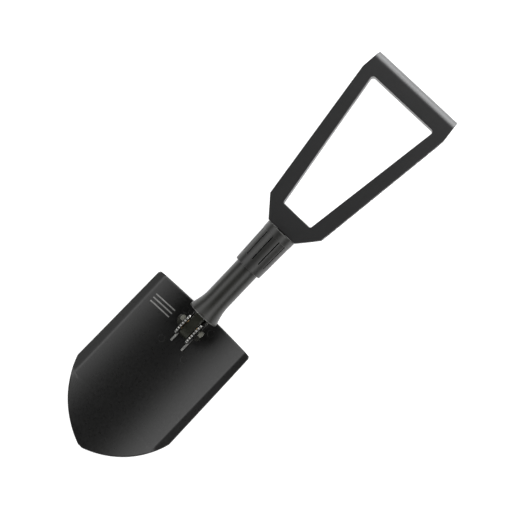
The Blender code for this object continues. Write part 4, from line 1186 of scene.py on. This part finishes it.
def grip_cutter():
    """What is cut away to leave the grip's half-round outer side."""
    centre = HANDLE_X[1] - HANDLE_HALF_THICK
    high = 20 * MM
    outline = arc((centre, 0), HANDLE_HALF_THICK, -90, 90, 40)
    outline += [(centre, high), (HANDLE_X[1] + high, high), (HANDLE_X[1] + high, -high), (centre, -high)]
    return prism(outline, -2 * GRIP_HALF_LENGTH, 2 * GRIP_HALF_LENGTH)[0]


def pocket_cutters():
    """Open cells along the outer side of both rails, with cross ribs between."""
    start = Vector(CORNER)
    end = Vector((OPENING_END, GRIP_HALF_LENGTH))
    along = (end - start).normalized()
    outward = Vector((-along.y, along.x))
    first = 6 * MM
    pitch = ((end - start).length - first - 4 * MM) / POCKET_COUNT
    half_long = (pitch - POCKET_RIB) / 2
    corner = (half_long, POCKET_HALF_HEIGHT)
    outline = rounded(rectangle((-corner[0], -corner[1]), corner), [1.0 * MM], 4)
    levels = [(-POCKET_DEPTH, -0.35 * MM)] + mouth_levels(0.0, 0.35 * MM, 1)
    for side in (-1, 1):
        for i in range(POCKET_COUNT):
            centre = start + along * (first + (i + 0.5) * pitch)
            cell = stack(outline, "Z", levels)
            cell.transform(Matrix((
                (along.x, 0, outward.x, centre.x),
                (side * along.y, 0, side * outward.y, side * centre.y),
                (0, 1, 0, 0),
                (0, 0, 0, 1))))
            yield cell


def knuckle_cutters():
    """Clear the back of the shoulder to an arc about the pin, so that the collar can pass."""
    deep = -30 * MM
    before = HANDLE_X[0] - 10 * MM
    past = OPENING_START + 5 * MM
    pin = (PIN_REACH, 0)
    base = arc(pin, KNUCKLE_RADIUS, 180, 270, 24) + [(PIN_REACH, deep), (before, deep), (before, 0)]
    inner = arc(pin, KNUCKLE_RADIUS, 270, 360, 24) + [(past, 0), (past, deep), (PIN_REACH, deep)]
    for outline, wide in ((base, 60 * MM), (inner, OPENING_START_HALF)):
        yield prism(outline, -wide, wide)[0]


def make_handle():
    body = plate(frame_outline(), "Z", -HANDLE_HALF_THICK, HANDLE_HALF_THICK, HANDLE_EDGE)
    handle = as_object("handle_fine", body, 30)
    carve(handle, opening_cutter())
    carve(handle, grip_cutter())
    for cell in pocket_cutters():
        carve(handle, cell)
    for shape in knuckle_cutters():
        carve(handle, shape)
    half = LINK_HALF_THICK + 0.4 * MM
    ceiling = LINK_HALF_HEIGHT + 0.4 * MM
    channel = rectangle((HANDLE_X[0] - 10 * MM, -half), (OPENING_START + 5 * MM, half))
    carve(handle, straight(channel, "Z", -30 * MM, ceiling))
    carve(handle, rod(PIN_RADIUS + GAP, PIN_REACH, -60 * MM, 60 * MM, 48))
    carve(handle, rod(PIN_POCKET_RADIUS, PIN_REACH, PIN_SEAT, 60 * MM))
    carve(handle, rod(PIN_POCKET_RADIUS, PIN_REACH, -60 * MM, -PIN_SEAT))
    show(handle, NYLON, "handle", "black_nylon", "handle_frame")


def make_pin():
    low, high = span("handle_pin", 1)
    seat = -PIN_SEAT - GAP
    clip_low, clip_high = span("handle_pin_clip", 1)
    groove = PIN_RADIUS - 0.7 * MM
    profile = [(low, 2.2 * MM), (low + 0.25 * MM, PIN_HEAD_RADIUS - 1.6 * MM)]
    profile += [(low + 0.7 * MM, PIN_HEAD_RADIUS - 0.5 * MM), (low + 1.3 * MM, PIN_HEAD_RADIUS)]
    profile += [(seat - 0.2 * MM, PIN_HEAD_RADIUS), (seat, PIN_HEAD_RADIUS - 0.2 * MM), (seat, PIN_RADIUS)]
    profile += [(clip_low - GAP, PIN_RADIUS), (clip_low - GAP, groove), (clip_high + GAP, groove)]
    profile += [(clip_high + GAP, PIN_RADIUS), (high - 0.5 * MM, PIN_RADIUS), (high, PIN_RADIUS - 0.5 * MM)]
    shape = turned_across(profile, PIN_REACH)
    show(as_object("handle_pin_fine", shape, 40), PIN_METAL, "handle", "black_steel", "handle_pin")
    washer("handle_pin_washer_fine", "handle_pin_washer", PIN_METAL, PIN_RADIUS + GAP, "handle",
           "black_steel", PIN_REACH)
    outline = arc((PIN_REACH, 0), PIN_HEAD_RADIUS - 0.4 * MM, 25, 335, 60)
    outline += arc((PIN_REACH, 0), groove + GAP, 335, 25, 50)
    clip = shrunk_plate(outline, clip_low, clip_high, 0.12 * MM)
    show(as_object("handle_pin_clip_fine", clip, 40), BOLT_METAL, "handle", "black_steel", "handle_pin_clip")


# ---------------- stage

CAMERA_AIM = Vector((115.85, 2.47, 0)) * MM         # from the blade hinge's axis
CAMERA_BACK = Vector((0.06916, -0.08063, 0.99434))
CAMERA_DISTANCE = 1.3922
CAMERA_LENS = 82.47
SHAFT_ANGLE = math.radians(46.47)                   # of the shaft above the picture's horizontal


def make_camera():
    data = bpy.data.cameras.new("camera")
    data.lens = CAMERA_LENS
    data.sensor_width = 36
    camera = add_object("camera", data)
    back = CAMERA_BACK.normalized()
    shaft = (Vector((1, 0, 0)) - back * back.x).normalized()
    across = back.cross(shaft)
    right = shaft * math.cos(SHAFT_ANGLE) - across * math.sin(SHAFT_ANGLE)
    up = shaft * math.sin(SHAFT_ANGLE) + across * math.cos(SHAFT_ANGLE)
    turn = Matrix((right, up, back)).transposed()
    place = AXIS + CAMERA_AIM + back * CAMERA_DISTANCE
    camera.matrix_world = Matrix.Translation(place) @ turn.to_4x4()
    bpy.context.scene.camera = camera


FLOOR_HALF = 3.0
FLOOR_SHADE = (0.65, 0.65, 0.65, 1)
FLOOR_GLOW = 0.65


def make_floor():
    shape = bmesh.new()
    bmesh.ops.create_grid(shape, x_segments=1, y_segments=1, size=FLOOR_HALF)
    mesh = bpy.data.meshes.new("floor")
    shape.to_mesh(mesh)
    shape.free()
    floor = add_object("floor", mesh)
    finish = bpy.data.materials.new("floor_white")
    finish.use_nodes = True
    shader = finish.node_tree.nodes["Principled BSDF"]
    shader.inputs["Base Color"].default_value = FLOOR_SHADE
    shader.inputs["Roughness"].default_value = 0.9
    shader.inputs["Specular IOR Level"].default_value = 0.0
    shader.inputs["Emission Color"].default_value = (1, 1, 1, 1)
    shader.inputs["Emission Strength"].default_value = FLOOR_GLOW
    mesh.materials.append(finish)


# The studio above: a dark strip along the shaft, a bright panel on each side of it, dim walls.
# Angles are from straight up, towards +Y or -Y.
OVERHEAD_LEVEL = 0.02
PANEL_LEVEL = 2.4
WALL_LEVEL = 0.12
PANEL_FADE_IN = (13, 35)
PANEL_FADE_OUT = (50, 64)

SOFTBOXES = (                   # name, place, aim, size, power
    ("grip_end_box", (1.2, -0.1, 0.62), (0.3, 0.0, 0.0), (1.1, 1.1), 24),
)


def make_world():
    world = bpy.data.worlds.new("studio")
    bpy.context.scene.world = world
    world.use_nodes = True
    tree = world.node_tree
    background = tree.nodes["Background"]
    background.inputs["Color"].default_value = (1.0, 1.0, 1.0, 1)
    direction = tree.nodes.new("ShaderNodeTexCoord")
    split = tree.nodes.new("ShaderNodeSeparateXYZ")
    tree.links.new(direction.outputs["Generated"], split.inputs[0])

    def number(operation, first, second):
        made = tree.nodes.new("ShaderNodeMath")
        made.operation = operation
        tree.links.new(first, made.inputs[0])
        made.inputs[1].default_value = second
        return made.outputs[0]

    def fade(source, angles, low, high):
        made = tree.nodes.new("ShaderNodeMapRange")
        made.interpolation_type = "SMOOTHSTEP"
        tree.links.new(source, made.inputs["Value"])
        ends = [math.tan(math.radians(angle)) for angle in angles]
        for key, value in zip(("From Min", "From Max"), ends):
            made.inputs[key].default_value = value
        for key, value in zip(("To Min", "To Max"), (low, high)):
            if isinstance(value, float):
                made.inputs[key].default_value = value
            else:
                tree.links.new(value, made.inputs[key])
        return made.outputs["Result"]

    slope = tree.nodes.new("ShaderNodeMath")
    slope.operation = "DIVIDE"
    tree.links.new(number("ABSOLUTE", split.outputs["Y"], 0.0), slope.inputs[0])
    tree.links.new(number("MAXIMUM", split.outputs["Z"], 0.001), slope.inputs[1])
    panel = fade(slope.outputs[0], PANEL_FADE_IN, OVERHEAD_LEVEL, PANEL_LEVEL)
    level = fade(slope.outputs[0], PANEL_FADE_OUT, panel, WALL_LEVEL)
    tree.links.new(level, background.inputs["Strength"])


def make_lights():
    for name, place, aim, size, power in SOFTBOXES:
        data = bpy.data.lights.new(name, "AREA")
        data.shape = "RECTANGLE"
        data.size, data.size_y = size
        data.energy = power
        light = add_object(name, data)
        light.location = place
        light.rotation_mode = "QUATERNION"
        light.rotation_quaternion = (Vector(aim) - Vector(place)).to_track_quat("-Z", "Y")


def build():
    make_blade()
    make_bracket()
    make_rivets()
    make_bolt_and_nut()
    make_washers()
    make_link()
    make_tube()
    make_collar()
    make_seal()
    windowed_ring("thrust_ring_fine", "thrust_ring", "thrust_carrier")
    windowed_ring("lower_bush_fine", "lower_guide_bush", "shaft_core")
    windowed_ring("upper_bush_fine", "upper_guide_bush", "shaft_core")
    make_handle()
    make_pin()
    make_floor()
    make_world()
    make_lights()
    make_camera()
    bpy.context.scene.view_settings.view_transform = "Standard"


build()
